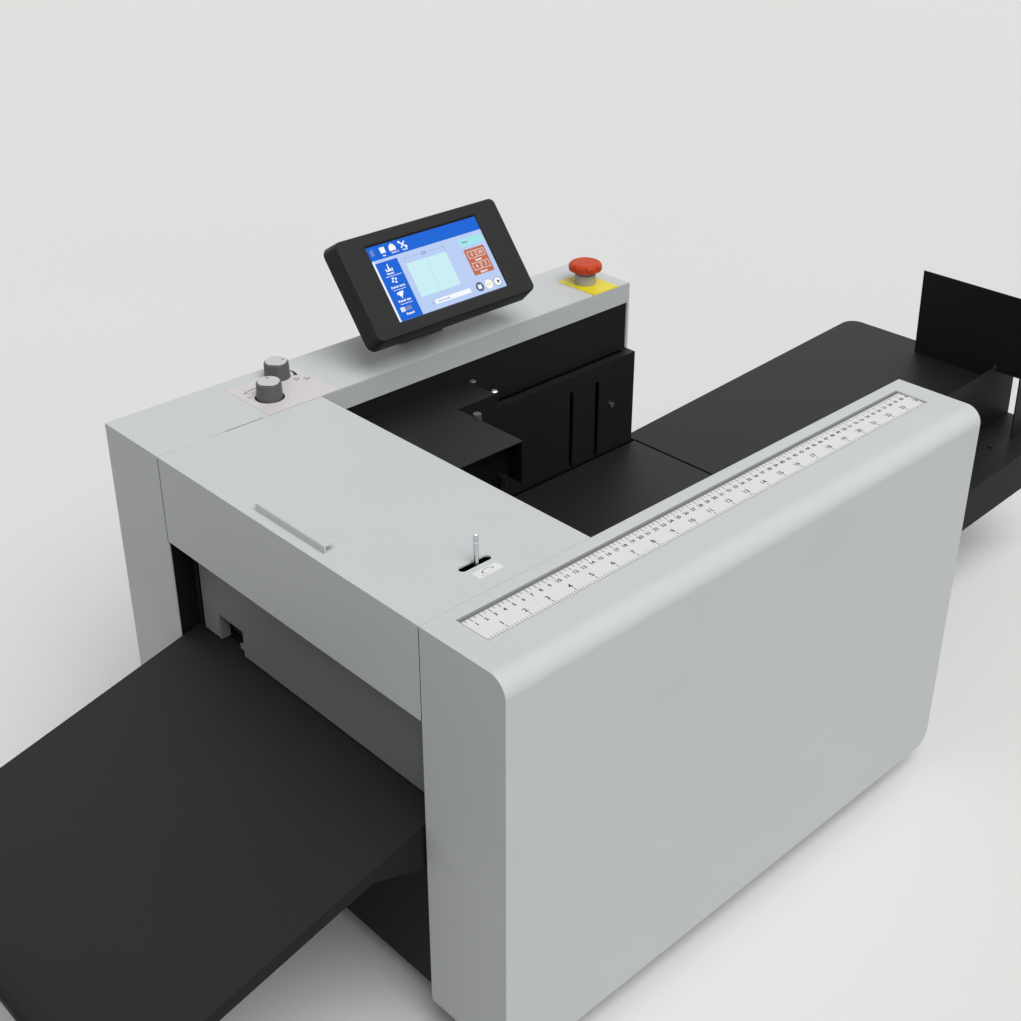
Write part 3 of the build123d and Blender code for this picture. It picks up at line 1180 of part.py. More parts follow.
def extension_table():
    """The table that carries long sheets, with its rim and down-turned edges."""
    y0 = BODY_LENGTH + MOVING_GAP
    y1 = BODY_LENGTH + EXTENSION_LENGTH
    table = block(EXTENSION_LEFT_X, EXTENSION_RIGHT_X, y0, y1, BED_TOP - SHEET, BED_TOP)
    corner = table.edges().filter_by(Axis.Z).sort_by(lambda edge: edge.center().X - edge.center().Y)[0]
    table = fillet(corner, EXTENSION_CORNER)
    table += block(EXTENSION_RIGHT_X - SHEET, EXTENSION_RIGHT_X, y0, y1 + 28, BED_TOP - SHEET,
                   BED_TOP + EXTENSION_RIM)
    table += block(EXTENSION_LEFT_X, EXTENSION_LEFT_X + SHEET, y0, y1 - EXTENSION_CORNER, BED_TOP - 14,
                   BED_TOP)
    return sloped(table)


def extension_beam():
    """The stepped beam that carries the extension off the rear panel."""
    y0 = BODY_LENGTH - 40
    y1 = BODY_LENGTH + BEAM_LENGTH
    web_x = EXTENSION_RIGHT_X - 7.0
    shelf_top = BED_TOP - SHEET - BEAM_DROP + SHEET
    beam = block(web_x, web_x + SHEET, y0, y1, shelf_top - SHEET, BED_TOP - SHEET)
    beam += block(web_x, web_x + BEAM_WIDTH, y0, y1, shelf_top - SHEET, shelf_top)
    beam += block(web_x + BEAM_WIDTH - SHEET, web_x + BEAM_WIDTH, y0, y1, shelf_top - BEAM_LIP, shelf_top)
    beam += block(web_x - 24, web_x + SHEET, BODY_LENGTH + 2, y1 - 60, BED_TOP - 2 * SHEET, BED_TOP - SHEET)
    for share in (0.25, 0.5, 0.8):
        screw_y = BODY_LENGTH + BEAM_LENGTH * share
        beam += rod_z(3.6, web_x + 37, screw_y, shelf_top - 1, shelf_top + 2.0)
    beam = sloped(beam)
    return beam - block(0, THROAT_WIDTH, 0, REAR_PANEL_Y, 0, TOP)


def back_stop():
    """The sliding back stop: face, foot and the wing over the beam's shelf."""
    y0 = BODY_LENGTH + STOP_DISTANCE
    base = BED_TOP + MOVING_GAP
    shelf = BED_TOP - BEAM_DROP + MOVING_GAP
    face = block(STOP_LEFT_X, STOP_RIGHT_X, y0, y0 + SHEET, BED_TOP + EXTENSION_RIM - 6, base + STOP_HEIGHT)
    face += block(STOP_LEFT_X, EXTENSION_RIGHT_X - SHEET - 1, y0, y0 + SHEET, base, base + STOP_HEIGHT)
    face -= block(EXTENSION_RIGHT_X - SHEET - 1, EXTENSION_RIGHT_X + 1, y0 - 1, y0 + 3, base,
                  BED_TOP + EXTENSION_RIM + 1)
    foot = block(STOP_LEFT_X, EXTENSION_RIGHT_X - SHEET - 1, y0, y0 + 32, base, base + SHEET)
    wing = block(STOP_RIGHT_X - SHEET, STOP_RIGHT_X, y0, y0 + STOP_WING, shelf, base + STOP_HEIGHT)
    cut = wing.edges().filter_by(Axis.X).sort_by(lambda edge: edge.center().Z - edge.center().Y)[0]
    wing = chamfer(cut, 34.0)
    stop = face + foot + wing
    for x in (STOP_LEFT_X + 44, STOP_LEFT_X + 113):
        stop += rod_z(4.0, x, y0 + 16, base + SHEET, base + SHEET + 2.5)
    return sloped(stop)


# ---------------------------------------------------------------- delivery tray
def delivery_tray():
    """The sloping tray with turned edges, an end lip and a hanging flange."""
    x1 = THROAT_WIDTH - 2.0
    tray = block(TRAY_LEFT_X, x1, -TRAY_LENGTH, 0, -SHEET, 0)
    for x in (TRAY_LEFT_X, x1 - SHEET):
        tray += block(x, x + SHEET, -TRAY_LENGTH, 0, -TRAY_EDGE, 0)
    tray += block(TRAY_LEFT_X, x1, -TRAY_LENGTH, -TRAY_LENGTH + SHEET, -SHEET, TRAY_STOP_HEIGHT)
    tray = Pos(0, TRAY_BACK_Y, TOP - TRAY_DROP) * Rot(TRAY_SLOPE, 0, 0) * tray
    tray -= block(TRAY_LEFT_X - 1, CASING_RIGHT, TRAY_BACK_Y, BRIDGE_DEPTH, 0, TOP)
    tray += block(TRAY_LEFT_X, x1, TRAY_BACK_Y, TRAY_BACK_Y + SHEET, TOP - TRAY_DROP - 60, TOP - TRAY_DROP)
    for x in (TRAY_LEFT_X, x1 - SHEET):
        profile = Polyline((TRAY_BACK_Y, TOP - TRAY_DROP - 3), (TRAY_BACK_Y, TOP - TRAY_DROP - 60),
                           (TRAY_BACK_Y - 90, TOP - TRAY_DROP - 90 * tan(radians(TRAY_SLOPE)) - 3),
                           close=True)
        tray += Pos(x, 0, 0) * extrude(Plane.YZ * make_face(profile), SHEET)
    return tray


# ---------------------------------------------------------------- ruler and controls
def ruler_scale():
    """The ruler plate under the window in the casing's top."""
    x0 = THROAT_WIDTH + RULER_LEFT_OFFSET - RULER_LAP
    return block(x0, x0 + RULER_WIDTH + 2 * RULER_LAP, RULER_FRONT_Y - RULER_LAP,
                 RULER_FRONT_Y + RULER_LENGTH + RULER_LAP, TOP - 2 * SHEET, TOP - SHEET)


def knob_overlay():
    """The thin plate under the two knobs."""
    plate = block(-OVERLAY_WIDTH, 0, OVERLAY_FRONT_Y, OVERLAY_FRONT_Y + OVERLAY_LENGTH, TOP,
                  TOP + OVERLAY_THICKNESS)
    for name, place in KNOB_PLACES.items():
        plate -= rod_z(KNOB_HOLE_RADII[name], place[0], place[1], TOP - 1, TOP + 1)
    return plate


def knob(name):
    """A control knob's skirt with a blind hole for its spindle."""
    x, y = KNOB_PLACES[name]
    base = TOP - KNOB_SINK
    high = TOP + KNOB_HEIGHT - KNOB_CAP_HEIGHT
    height = high - base
    skirt = Pos(x, y, base + height / 2) * Cone(KNOB_BASE_RADIUS, KNOB_TOP_RADIUS, height)
    skirt = chamfer(skirt.edges().sort_by(Axis.Z)[-1], 0.6)
    return skirt - rod_z(3.0 + RUNNING_FIT, x, y, base - 1, base + 10.5)


def knob_cap(name):
    """The pale cap of a knob with the dimple that shows its setting."""
    x, y = KNOB_PLACES[name]
    high = TOP + KNOB_HEIGHT
    cap = rod_z(KNOB_CAP_RADIUS, x, y, high - KNOB_CAP_HEIGHT, high)
    cap = chamfer(cap.edges().sort_by(Axis.Z)[-1], 0.3)
    angle = radians(KNOB_ANGLES[name])
    dimple_x = x + KNOB_DIMPLE_REACH * cos(angle)
    dimple_y = y + KNOB_DIMPLE_REACH * sin(angle)
    return cap - rod_z(KNOB_DIMPLE_RADIUS, dimple_x, dimple_y, high - KNOB_DIMPLE_DEPTH, high + 1)


def potentiometers():
    """The two rotary controls on their plate, which hangs from the tower's top."""
    plate_top = TOP - SHEET - 8.0
    plate = block(TOWER_LEFT + SHEET + 4, WALL_LEFT - SHEET - 2, OVERLAY_FRONT_Y,
                  OVERLAY_FRONT_Y + OVERLAY_LENGTH,
                  plate_top - THIN_SHEET, plate_top)
    pieces = []
    for y in (OVERLAY_FRONT_Y + 5, OVERLAY_FRONT_Y + OVERLAY_LENGTH - 5):
        for x in (TOWER_LEFT + SHEET + 9, WALL_LEFT - SHEET - 7):
            plate += rod_z(2.5, x, y, plate_top - 1, TOP - SHEET)
    for x, y in KNOB_PLACES.values():
        plate -= rod_z(4.0, x, y, plate_top - 3, plate_top + 1)
        control = Pos(x, y, plate_top - THIN_SHEET - 6) * Box(24, 24, 12)
        control += rod_z(4.0, x, y, plate_top - THIN_SHEET - 1, plate_top)
        control += rod_z(3.0, x, y, plate_top - 1, TOP - KNOB_SINK + 10)
        pieces.append(control)
    return group(plate, *pieces)


def estop_plate():
    """The yellow plate under the stop button."""
    x0 = STOP_LABEL_RIGHT_X - STOP_LABEL_WIDTH
    y0 = STOP_BUTTON_PLACE[1] - STOP_LABEL_DEPTH / 2
    plate = block(x0, STOP_LABEL_RIGHT_X, y0, y0 + STOP_LABEL_DEPTH, TOP, TOP + STOP_LABEL_THICKNESS)
    return plate - rod_z(STOP_STEM_RADIUS, *STOP_BUTTON_PLACE, TOP - 1, TOP + 2)


def estop_collar():
    """The stop button's recessed collar above the plate, and its contact block below."""
    x, y = STOP_BUTTON_PLACE
    foot = TOP + STOP_LABEL_THICKNESS
    high = TOP + STOP_COLLAR_HEIGHT
    recess_low = high - STOP_TRAVEL - 2 * STOP_CLEARANCE
    collar = rod_z(STOP_COLLAR_RADIUS, x, y, foot, high)
    collar = chamfer(collar.edges().sort_by(Axis.Z)[-1], 0.8)
    collar -= rod_z(STOP_FLANGE_RADIUS + MOVING_GAP, x, y, recess_low, high + 1)
    collar += rod_z(STOP_STEM_RADIUS, x, y, TOP - SHEET - 8, foot)
    collar += Pos(x, y, TOP - SHEET - 8 - 17) * Box(30, 40, 34)
    return collar - rod_z(STOP_STEM_RADIUS - 2 + RUNNING_FIT, x, y, TOP - SHEET - 20, high + 1)


def estop_stem():
    """The sliding stem of the stop button with the flange that sinks into the collar."""
    x, y = STOP_BUTTON_PLACE
    stem = rod_z(STOP_STEM_RADIUS - 2, x, y, TOP - SHEET - 12, STOP_HEAD_BASE + STOP_STEM_TENON)
    flange_low = TOP + STOP_COLLAR_HEIGHT - STOP_CLEARANCE
    return stem + rod_z(STOP_FLANGE_RADIUS, x, y, flange_low, STOP_HEAD_BASE - MOVING_GAP)


def estop_head():
    """The fluted mushroom head, which turns on the stem."""
    x, y = STOP_BUTTON_PLACE
    base = STOP_HEAD_BASE
    high = base + STOP_HEAD_HEIGHT
    head = rod_z(STOP_HEAD_RADIUS, x, y, base, high)
    head = fillet(head.edges().sort_by(Axis.Z)[-1], STOP_HEAD_HEIGHT * 0.55)
    head = fillet(head.edges().sort_by(Axis.Z)[0], STOP_HEAD_HEIGHT * 0.2)
    reach = STOP_HEAD_RADIUS + STOP_FLUTE_OFFSET
    for index in range(STOP_HEAD_FLUTES):
        angle = 2 * pi * index / STOP_HEAD_FLUTES
        head -= rod_z(STOP_FLUTE_RADIUS, x + reach * cos(angle), y + reach * sin(angle), base - 1, high + 1)
    socket_top = base + STOP_STEM_TENON + MOVING_GAP
    return head - rod_z(STOP_STEM_RADIUS - 2 + RUNNING_FIT, x, y, base - 1, socket_top)


# ---------------------------------------------------------------- touch panel
def panel_plane(depth):
    """A plane parallel to the panel's face, this far behind it."""
    tilt = radians(PANEL_TILT)
    normal = Vector(cos(tilt), 0, sin(tilt))
    centre = Vector(PANEL_CENTRE[0], PANEL_CENTRE[1], TOP + PANEL_CENTRE[2])
    return Plane(origin=centre - normal * depth, x_dir=(0, 1, 0), z_dir=normal)


def panel_section(depth, grow):
    """The panel's rounded outline at a depth."""
    return panel_plane(depth) * RectangleRounded(PANEL_WIDTH + 2 * grow, PANEL_HEIGHT + 2 * grow,
                                                 PANEL_CORNER + grow)


def panel_bezel():
    """The front frame of the panel with its sloped opening."""
    bezel = loft([panel_section(PANEL_FRONT_LAYER, PANEL_FLARE * PANEL_FRONT_LAYER / PANEL_THICKNESS),
                  panel_section(1.0, 0), panel_section(0, -1.0)], ruled=True)
    window = loft([panel_plane(DISPLAY_RECESS) * Rectangle(DISPLAY_WIDTH, DISPLAY_HEIGHT),
                   panel_plane(-0.5) * Rectangle(DISPLAY_WIDTH + 5, DISPLAY_HEIGHT + 5)])
    deep = extrude(panel_plane(PANEL_FRONT_LAYER + 1) * Rectangle(DISPLAY_WIDTH, DISPLAY_HEIGHT),
                   PANEL_FRONT_LAYER + 1 - DISPLAY_RECESS)
    return bezel - window - deep


def panel_rear():
    """The rear shell of the panel with the lug that it tilts on."""
    front_grow = PANEL_FLARE * PANEL_FRONT_LAYER / PANEL_THICKNESS
    shell = loft([panel_section(PANEL_THICKNESS, PANEL_FLARE), panel_section(PANEL_FRONT_LAYER, front_grow)],
                 ruled=True)
    hollow = extrude(panel_plane(PANEL_THICKNESS - 2.5) * Rectangle(PANEL_WIDTH - 8, PANEL_HEIGHT - 8),
                     PANEL_THICKNESS - 2.5 - PANEL_FRONT_LAYER)
    shell -= hollow
    half = STAND_EAR_SPREAD / 2 - 0.5
    y = PANEL_CENTRE[1]
    pin_z = TOP + STAND_PIN_HEIGHT
    lug = rod_y(8.0, STAND_PIN_X, y - half, y + half, pin_z)
    plane = panel_plane(PANEL_THICKNESS - 1)
    offset = 26.0
    arm = Plane(origin=plane.from_local_coords((0, -offset, 0)), x_dir=(0, 1, 0), z_dir=plane.z_dir)
    reach = 16.0
    lug += extrude(arm * Rectangle(2 * half, 15), -reach)
    lug -= rod_y(STAND_PIN_RADIUS + RUNNING_FIT, STAND_PIN_X, y - half - 1, y + half + 1, pin_z)
    return shell + lug


def display_glass():
    """The display unit behind the bezel."""
    top = DISPLAY_RECESS + 0.2
    return extrude(panel_plane(top + DISPLAY_THICKNESS) * Rectangle(DISPLAY_WIDTH, DISPLAY_HEIGHT),
                   DISPLAY_THICKNESS)


def panel_stand():
    """The stand on the tower: base, two leaning ears and the pin."""
    y = PANEL_CENTRE[1]
    width, length, thickness = STAND_BASE
    base = Pos(STAND_BASE_X, y, TOP + thickness / 2) * Box(width, length, thickness)
    low = TOP + thickness / 2
    pin_z = TOP + STAND_PIN_HEIGHT
    lean = atan2(pin_z - low, STAND_PIN_X - STAND_BASE_X)
    side_x = STAND_EYE_RADIUS * sin(lean)
    side_z = STAND_EYE_RADIUS * cos(lean)
    outline = Polyline((STAND_BASE_X - STAND_EAR_FOOT / 2, low), (STAND_BASE_X + STAND_EAR_FOOT / 2, low),
                       (STAND_PIN_X + side_x, pin_z - side_z), (STAND_PIN_X - side_x, pin_z + side_z),
                       close=True)
    for side in (-1, 1):
        ear_y = y + side * (STAND_EAR_SPREAD / 2 + STAND_EAR_THICKNESS / 2)
        y0 = ear_y - STAND_EAR_THICKNESS / 2
        y1 = ear_y + STAND_EAR_THICKNESS / 2
        base += Pos(0, y1, 0) * extrude(Plane.XZ * make_face(outline), STAND_EAR_THICKNESS)
        base += rod_y(STAND_EYE_RADIUS, STAND_PIN_X, y0, y1, pin_z)
    reach = STAND_EAR_SPREAD / 2 + STAND_EAR_THICKNESS
    base += rod_y(STAND_PIN_RADIUS, STAND_PIN_X, y - reach - 2, y + reach + 2, pin_z)
    return base


# ---------------------------------------------------------------- mains inlet, switch, electronics
def inlet_body(extra):
    """The block that passes through the tower's end wall for the inlet."""
    z = FOOT_HEIGHT + INLET_HEIGHT
    return block(INLET_X - 13.5 - extra, INLET_X + 13.5 + extra, BODY_LENGTH - 22, BODY_LENGTH + 1,
                 z - 9.5 - extra, z + 9.5 + extra)


def mains_inlet():
    """The mains inlet with its three blades in a socket."""
    z = FOOT_HEIGHT + INLET_HEIGHT
    body = inlet_body(0)
    body += block(INLET_X - 24, INLET_X + 24, BODY_LENGTH, BODY_LENGTH + 2.5, z - 12, z + 12)
    body -= block(INLET_X - 12, INLET_X + 12, BODY_LENGTH - 16, BODY_LENGTH + 4, z - 8, z + 8)
    for across, up in ((-7, -2), (7, -2), (0, 3)):
        blade_x = INLET_X + across
        blade_z = z + up
        body += block(blade_x - 1, blade_x + 1, BODY_LENGTH - 17, BODY_LENGTH - 1, blade_z - 2, blade_z + 2)
    return body


def rocker_axis():
    """The rocker's hinge axis: y and z."""
    return BODY_LENGTH - 2.0, FOOT_HEIGHT + INLET_HEIGHT


def rocker_hole():
    """The opening in the end wall for the switch body."""
    z = FOOT_HEIGHT + INLET_HEIGHT
    half_x = ROCKER_WIDTH / 2 + SWITCH_SIDE_WALL
    half_z = ROCKER_HEIGHT / 2 + SWITCH_END_WALL
    return block(ROCKER_X - half_x, ROCKER_X + half_x, BODY_LENGTH - 2 * SHEET, BODY_LENGTH + 1,
                 z - half_z, z + half_z)


def switch_frame():
    """The body of the rocker switch."""
    z = FOOT_HEIGHT + INLET_HEIGHT
    half_x = ROCKER_WIDTH / 2 + SWITCH_SIDE_WALL
    half_z = ROCKER_HEIGHT / 2 + SWITCH_END_WALL
    body = block(ROCKER_X - half_x, ROCKER_X + half_x, BODY_LENGTH - SWITCH_DEPTH, BODY_LENGTH,
                 z - half_z, z + half_z)
    body += block(ROCKER_X - half_x - SWITCH_RIM, ROCKER_X + half_x + SWITCH_RIM, BODY_LENGTH,
                  BODY_LENGTH + THIN_SHEET, z - half_z - SWITCH_RIM, z + half_z + SWITCH_RIM)
    opening_x = ROCKER_WIDTH / 2 + ROCKER_GAP
    opening_z = ROCKER_HEIGHT / 2 + 2 * ROCKER_GAP
    body -= block(ROCKER_X - opening_x, ROCKER_X + opening_x, BODY_LENGTH - SWITCH_DEPTH / 2 - 1,
                  BODY_LENGTH + 3, z - opening_z, z + opening_z)
    y, axis_z = rocker_axis()
    body += rod_x(ROCKER_PIN_RADIUS, ROCKER_X - half_x, ROCKER_X + half_x, y, axis_z)
    return body


def power_rocker():
    """The rocker on its pin, standing tipped toward its off side."""
    y, z = rocker_axis()
    half = ROCKER_HEIGHT / 2
    slope = tan(radians(ROCKER_TIP)) * half
    profile = Polyline((-5.0, -half * 0.4), (3.0 - slope, -half), (1.4, 0), (3.0 + slope, half * 0.98),
                       (-5.0, half * 0.4), close=True)
    body = Pos(ROCKER_X - ROCKER_WIDTH / 2, y, z) * extrude(Plane.YZ * make_face(profile), ROCKER_WIDTH)
    pin = ROCKER_PIN_RADIUS + RUNNING_FIT
    return body - rod_x(pin, ROCKER_X - ROCKER_WIDTH, ROCKER_X + ROCKER_WIDTH, y, z)


def electronics():
    """The power supply on the base pan and the control board on the tower's outer wall."""
    left = THROAT_WIDTH + SUPPLY_GAP
    right = left + SUPPLY_WIDTH
    supply = block(left, right, SUPPLY_FRONT_Y, SUPPLY_FRONT_Y + SUPPLY_LENGTH, FLOOR_PAN_TOP,
                   FLOOR_PAN_TOP + SUPPLY_HEIGHT)
    louvre_low = FLOOR_PAN_TOP + (SUPPLY_HEIGHT - LOUVRE_HEIGHT) / 2
    louvre_run = (LOUVRE_COUNT - 1) * LOUVRE_PITCH + LOUVRE_LENGTH
    for index in range(LOUVRE_COUNT):
        y = SUPPLY_FRONT_Y + (SUPPLY_LENGTH - louvre_run) / 2 + index * LOUVRE_PITCH
        supply -= block(right - LOUVRE_DEPTH, right + 1, y, y + LOUVRE_LENGTH, louvre_low,
                        louvre_low + LOUVRE_HEIGHT)
    wall = TOWER_LEFT + SHEET
    back = wall + BOARD_STANDOFF
    face = back + BOARD_THICKNESS
    board_back_y = BOARD_FRONT_Y + BOARD_LENGTH
    board_high = BOARD_LOW + BOARD_HEIGHT
    board = block(back, face, BOARD_FRONT_Y, board_back_y, BOARD_LOW, board_high)
    for y in (BOARD_FRONT_Y + BOARD_POST_INSET, board_back_y - BOARD_POST_INSET):
        for z in (BOARD_LOW + BOARD_POST_INSET, board_high - BOARD_POST_INSET):
            board += rod_x(BOARD_POST_RADIUS, wall, face - BOARD_THICKNESS / 2, y, z)
    for along, up, width, height in BOARD_PARTS:
        y = BOARD_FRONT_Y + along
        z = BOARD_LOW + up
        board += block(back + BOARD_THICKNESS / 2, face + BOARD_PART_THICKNESS, y, y + width, z, z + height)
    return group(supply, board)


# ---------------------------------------------------------------- write every node
NODES = {
    "base_pan": base_pan(),
    "rubber_feet": rubber_feet(),
    "tower_shell": tower_shell(),
    "tower_inner_wall": tower_inner_wall(),
    "casing_shell": casing_shell(),
    "casing_inner_wall": casing_inner_wall(),
    "lower_panels": lower_panels(),
    "bridge_frame": bridge_frame(),
    "exit_plate": exit_plate(),
    "bridge_rear_panel": bridge_rear_panel(),
    "bridge_cover": bridge_cover(),
    "pins_and_screws": pins_and_screws(),
    "cover_handle": cover_handle(),
    "infeed_lower_roller": driven_roller(INFEED_ROLLER_Y),
    "infeed_upper_roller": nip_roller(INFEED_ROLLER_Y),
    "exit_lower_roller": driven_roller(EXIT_ROLLER_Y),
    "exit_upper_roller": nip_roller(EXIT_ROLLER_Y),
    "bearing_bushes": bearing_bushes(),
    "timing_belt": timing_belt(),
    "drive_motors": drive_motors(),
    "motor_pulley": motor_pulley(),
    "eccentric_shaft": eccentric_shaft(),
    "crease_pinion": crease_pinion(),
    "blade_carrier": blade_carrier(),
    "crease_anvil": crease_anvil(),
    "paper_guides": paper_guides(),
    "release_lever": release_lever(),
    "feed_bed": feed_bed(),
    "side_plate": side_plate(),
    "air_ducts": air_ducts(),
    "blower": blower(),
    "blower_impeller": blower_impeller(),
    "suction_box": suction_box(),
    "vacuum_belts": vacuum_belts(),
    "belt_drive_roller": belt_drive_roller(),
    "belt_idler_roller": belt_roller(BELT_IDLER_Y, BELT_FRAME_LEFT - BELT_FRAME_THICKNESS - 3),
    "side_guide": side_guide(),
    "feed_head_cover": feed_head_cover(),
    "extension_table": extension_table(),
    "extension_beam": extension_beam(),
    "back_stop": back_stop(),
    "delivery_tray": delivery_tray(),
    "ruler_scale": ruler_scale(),
    "knob_overlay": knob_overlay(),
    "knob_front": knob("front"),
    "knob_front_cap": knob_cap("front"),
    "knob_rear": knob("rear"),
    "knob_rear_cap": knob_cap("rear"),
    "potentiometers": potentiometers(),
    "estop_plate": estop_plate(),
    "estop_collar": estop_collar(),
    "estop_stem": estop_stem(),
    "estop_head": estop_head(),
    "panel_bezel": panel_bezel(),
    "panel_rear": panel_rear(),
    "display_glass": display_glass(),
    "panel_stand": panel_stand(),
    "mains_inlet": group(mains_inlet(), switch_frame()),
    "power_rocker": power_rocker(),
    "electronics": electronics(),
}


def write_parts(nodes):
    """Move the model to the centre of its base and write one file for each node."""
    boxes = [shape.bounding_box() for shape in nodes.values()]
    middle_x = (min(box.min.X for box in boxes) + max(box.max.X for box in boxes)) / 2
    middle_y = (min(box.min.Y for box in boxes) + max(box.max.Y for box in boxes)) / 2
    lowest = min(box.min.Z for box in boxes)
    print("origin moved by", round(middle_x, 4), round(middle_y, 4), round(lowest, 4))
    os.makedirs("parts", exist_ok=True)
    for name, shape in nodes.items():
        export_step(Pos(-middle_x, -middle_y, -lowest) * shape, f"parts/{name}.step")


write_parts(NODES)
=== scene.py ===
"""Looks of a desktop paper creasing machine, dressed over its CAD frame.

Lengths are in millimetres until place() or mm() turns them into metres. Places are given from the
tower's inner face (x), from the front face (y) and from the floor (z), as the machine's drawings do.
"""
import json
from itertools import cycle
from math import cos, radians, sin

import bpy
from mathutils import Matrix, Vector

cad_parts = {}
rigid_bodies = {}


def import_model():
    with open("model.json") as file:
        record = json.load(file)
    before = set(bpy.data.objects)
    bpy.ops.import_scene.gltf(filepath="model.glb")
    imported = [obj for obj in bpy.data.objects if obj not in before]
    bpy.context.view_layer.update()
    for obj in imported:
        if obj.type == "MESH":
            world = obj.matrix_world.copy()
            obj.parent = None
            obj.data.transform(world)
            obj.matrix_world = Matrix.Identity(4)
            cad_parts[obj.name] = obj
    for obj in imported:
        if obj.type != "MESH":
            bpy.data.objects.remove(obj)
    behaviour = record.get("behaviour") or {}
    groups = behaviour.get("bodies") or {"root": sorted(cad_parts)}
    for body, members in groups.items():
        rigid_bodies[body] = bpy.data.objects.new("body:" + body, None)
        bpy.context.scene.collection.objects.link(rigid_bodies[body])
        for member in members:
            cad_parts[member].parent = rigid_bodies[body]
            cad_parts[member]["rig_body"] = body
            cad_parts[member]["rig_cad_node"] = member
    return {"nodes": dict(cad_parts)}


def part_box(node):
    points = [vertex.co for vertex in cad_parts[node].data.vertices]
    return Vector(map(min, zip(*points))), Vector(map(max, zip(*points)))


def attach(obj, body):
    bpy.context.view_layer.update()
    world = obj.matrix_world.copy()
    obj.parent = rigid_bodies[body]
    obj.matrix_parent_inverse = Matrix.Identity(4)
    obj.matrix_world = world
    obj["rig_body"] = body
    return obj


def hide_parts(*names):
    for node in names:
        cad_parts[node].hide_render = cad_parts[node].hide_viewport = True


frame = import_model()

for spare in [thing for thing in bpy.data.objects if "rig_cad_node" not in thing and thing.type != "EMPTY"]:
    bpy.data.objects.remove(spare)
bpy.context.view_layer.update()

bl_info = {
    "name": "Desktop paper creasing machine",
    "version": (1, 0, 0),
    "blender": (4, 5, 0),
    "location": "View3D > Sidebar > Creaser",
    "description": "Dresses the creasing machine's frame with finishes, printed scales and controls",
    "category": "Add Mesh",
}

NODES = frame["nodes"]
TOWER_LOW, TOWER_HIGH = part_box("tower_shell")
TOP = TOWER_HIGH.z * 1000
SHARP = 35          # degrees; edges over this stay hard in the shading
ARC_STEP = 6        # degrees between two sections of a printed arc
DIGIT_SHARE = 0.7   # height of a digit over the size of its type
INCH = 25.4


# ---------------------------------------------------------------- units, places and selection
def mm(length):
    """Millimetres to metres."""
    return length / 1000


def place(x, y, z):
    """A point of the machine, in metres, from its millimetres."""
    return Vector((TOWER_HIGH.x + mm(x), TOWER_LOW.y + mm(y), mm(z)))


def box_mm(name):
    """A CAD node's lowest and highest corner in the machine's millimetres."""
    shift = Vector((TOWER_HIGH.x, TOWER_LOW.y, 0))
    return tuple((corner - shift) * 1000 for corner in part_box(name))


def rest():
    """Leave edit mode and select nothing."""
    active = bpy.context.view_layer.objects.active
    if active and active.mode != "OBJECT":
        bpy.ops.object.mode_set(mode="OBJECT")
    bpy.ops.object.select_all(action="DESELECT")


def pick(piece, *others):
    """Select these objects only, the first one active."""
    rest()
    for thing in (piece, *others):
        thing.select_set(True)
    bpy.context.view_layer.objects.active = piece
    return piece


def edit(piece, kind, wanted):
    """Open a piece in edit mode with the faces or edges that wanted() says yes to selected."""
    pick(piece)
    bpy.ops.object.mode_set(mode="EDIT")
    bpy.ops.mesh.select_mode(type=kind)
    bpy.ops.mesh.select_all(action="DESELECT")
    bpy.ops.object.mode_set(mode="OBJECT")
    mesh = piece.data
    if kind == "FACE":
        for face in mesh.polygons:
            face.select = wanted(face.center)
    else:
        for edge in mesh.edges:
            edge.select = wanted(*(mesh.vertices[index].co for index in edge.vertices))
    bpy.ops.object.mode_set(mode="EDIT")


def done(piece):
    """Leave edit mode."""
    bpy.ops.object.mode_set(mode="OBJECT")
    return piece


def settle(piece):
    """Put a piece's place, turn and size into its mesh."""
    pick(piece)
    bpy.ops.object.transform_apply(location=True, rotation=True, scale=True)
    return piece


def modify(piece, kind, **settings):
    """Add a modifier with these settings and apply it."""
    pick(piece)
    modifier = piece.modifiers.new(kind.title(), kind)
    for name, value in settings.items():
        setattr(modifier, name, value)
    bpy.ops.object.modifier_apply(modifier=modifier.name)
    return piece


def finish(piece, name, kind, body):
    """Name a piece, give it its finish and let it ride on its body."""
    piece.name = name
    piece.data.name = name
    piece.data.materials.clear()
    piece.data.materials.append(FINISHES[kind])
    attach(piece, body)
    return piece


def join(pieces):
    """Make one object of several."""
    pick(*pieces)
    if len(pieces) > 1:
        bpy.ops.object.join()
    return pieces[0]


def plate(x0, x1, y0, y1, z0, z1):
    """A block between two corners, added as a cube primitive."""
    rest()
    middle = place((x0 + x1) / 2, (y0 + y1) / 2, (z0 + z1) / 2)
    size = (mm(x1 - x0), mm(y1 - y0), mm(z1 - z0))
    bpy.ops.mesh.primitive_cube_add(size=1, location=middle, scale=size)
    return settle(bpy.context.object)


# ---------------------------------------------------------------- colour and node helpers
def linear(code):
    """An sRGB hex colour as linear red, green, blue and alpha."""
    channels = [int(code[start:start + 2], 16) / 255 for start in (1, 3, 5)]
    return tuple(c / 12.92 if c <= 0.04045 else ((c + 0.055) / 1.055) ** 2.4 for c in channels) + (1.0,)


def add(tree, kind, inputs=None, **settings):
    """Add a shader node; an input given as (node, output) is linked, any other is set."""
    made = tree.nodes.new("ShaderNode" + kind)
    for name, value in settings.items():
        setattr(made, name, value)
    for name, value in (inputs or {}).items():
        if isinstance(value, tuple) and isinstance(value[0], bpy.types.Node):
            tree.links.new(value[0].outputs[value[1]], made.inputs[name])
        else:
            made.inputs[name].default_value = value
    return made


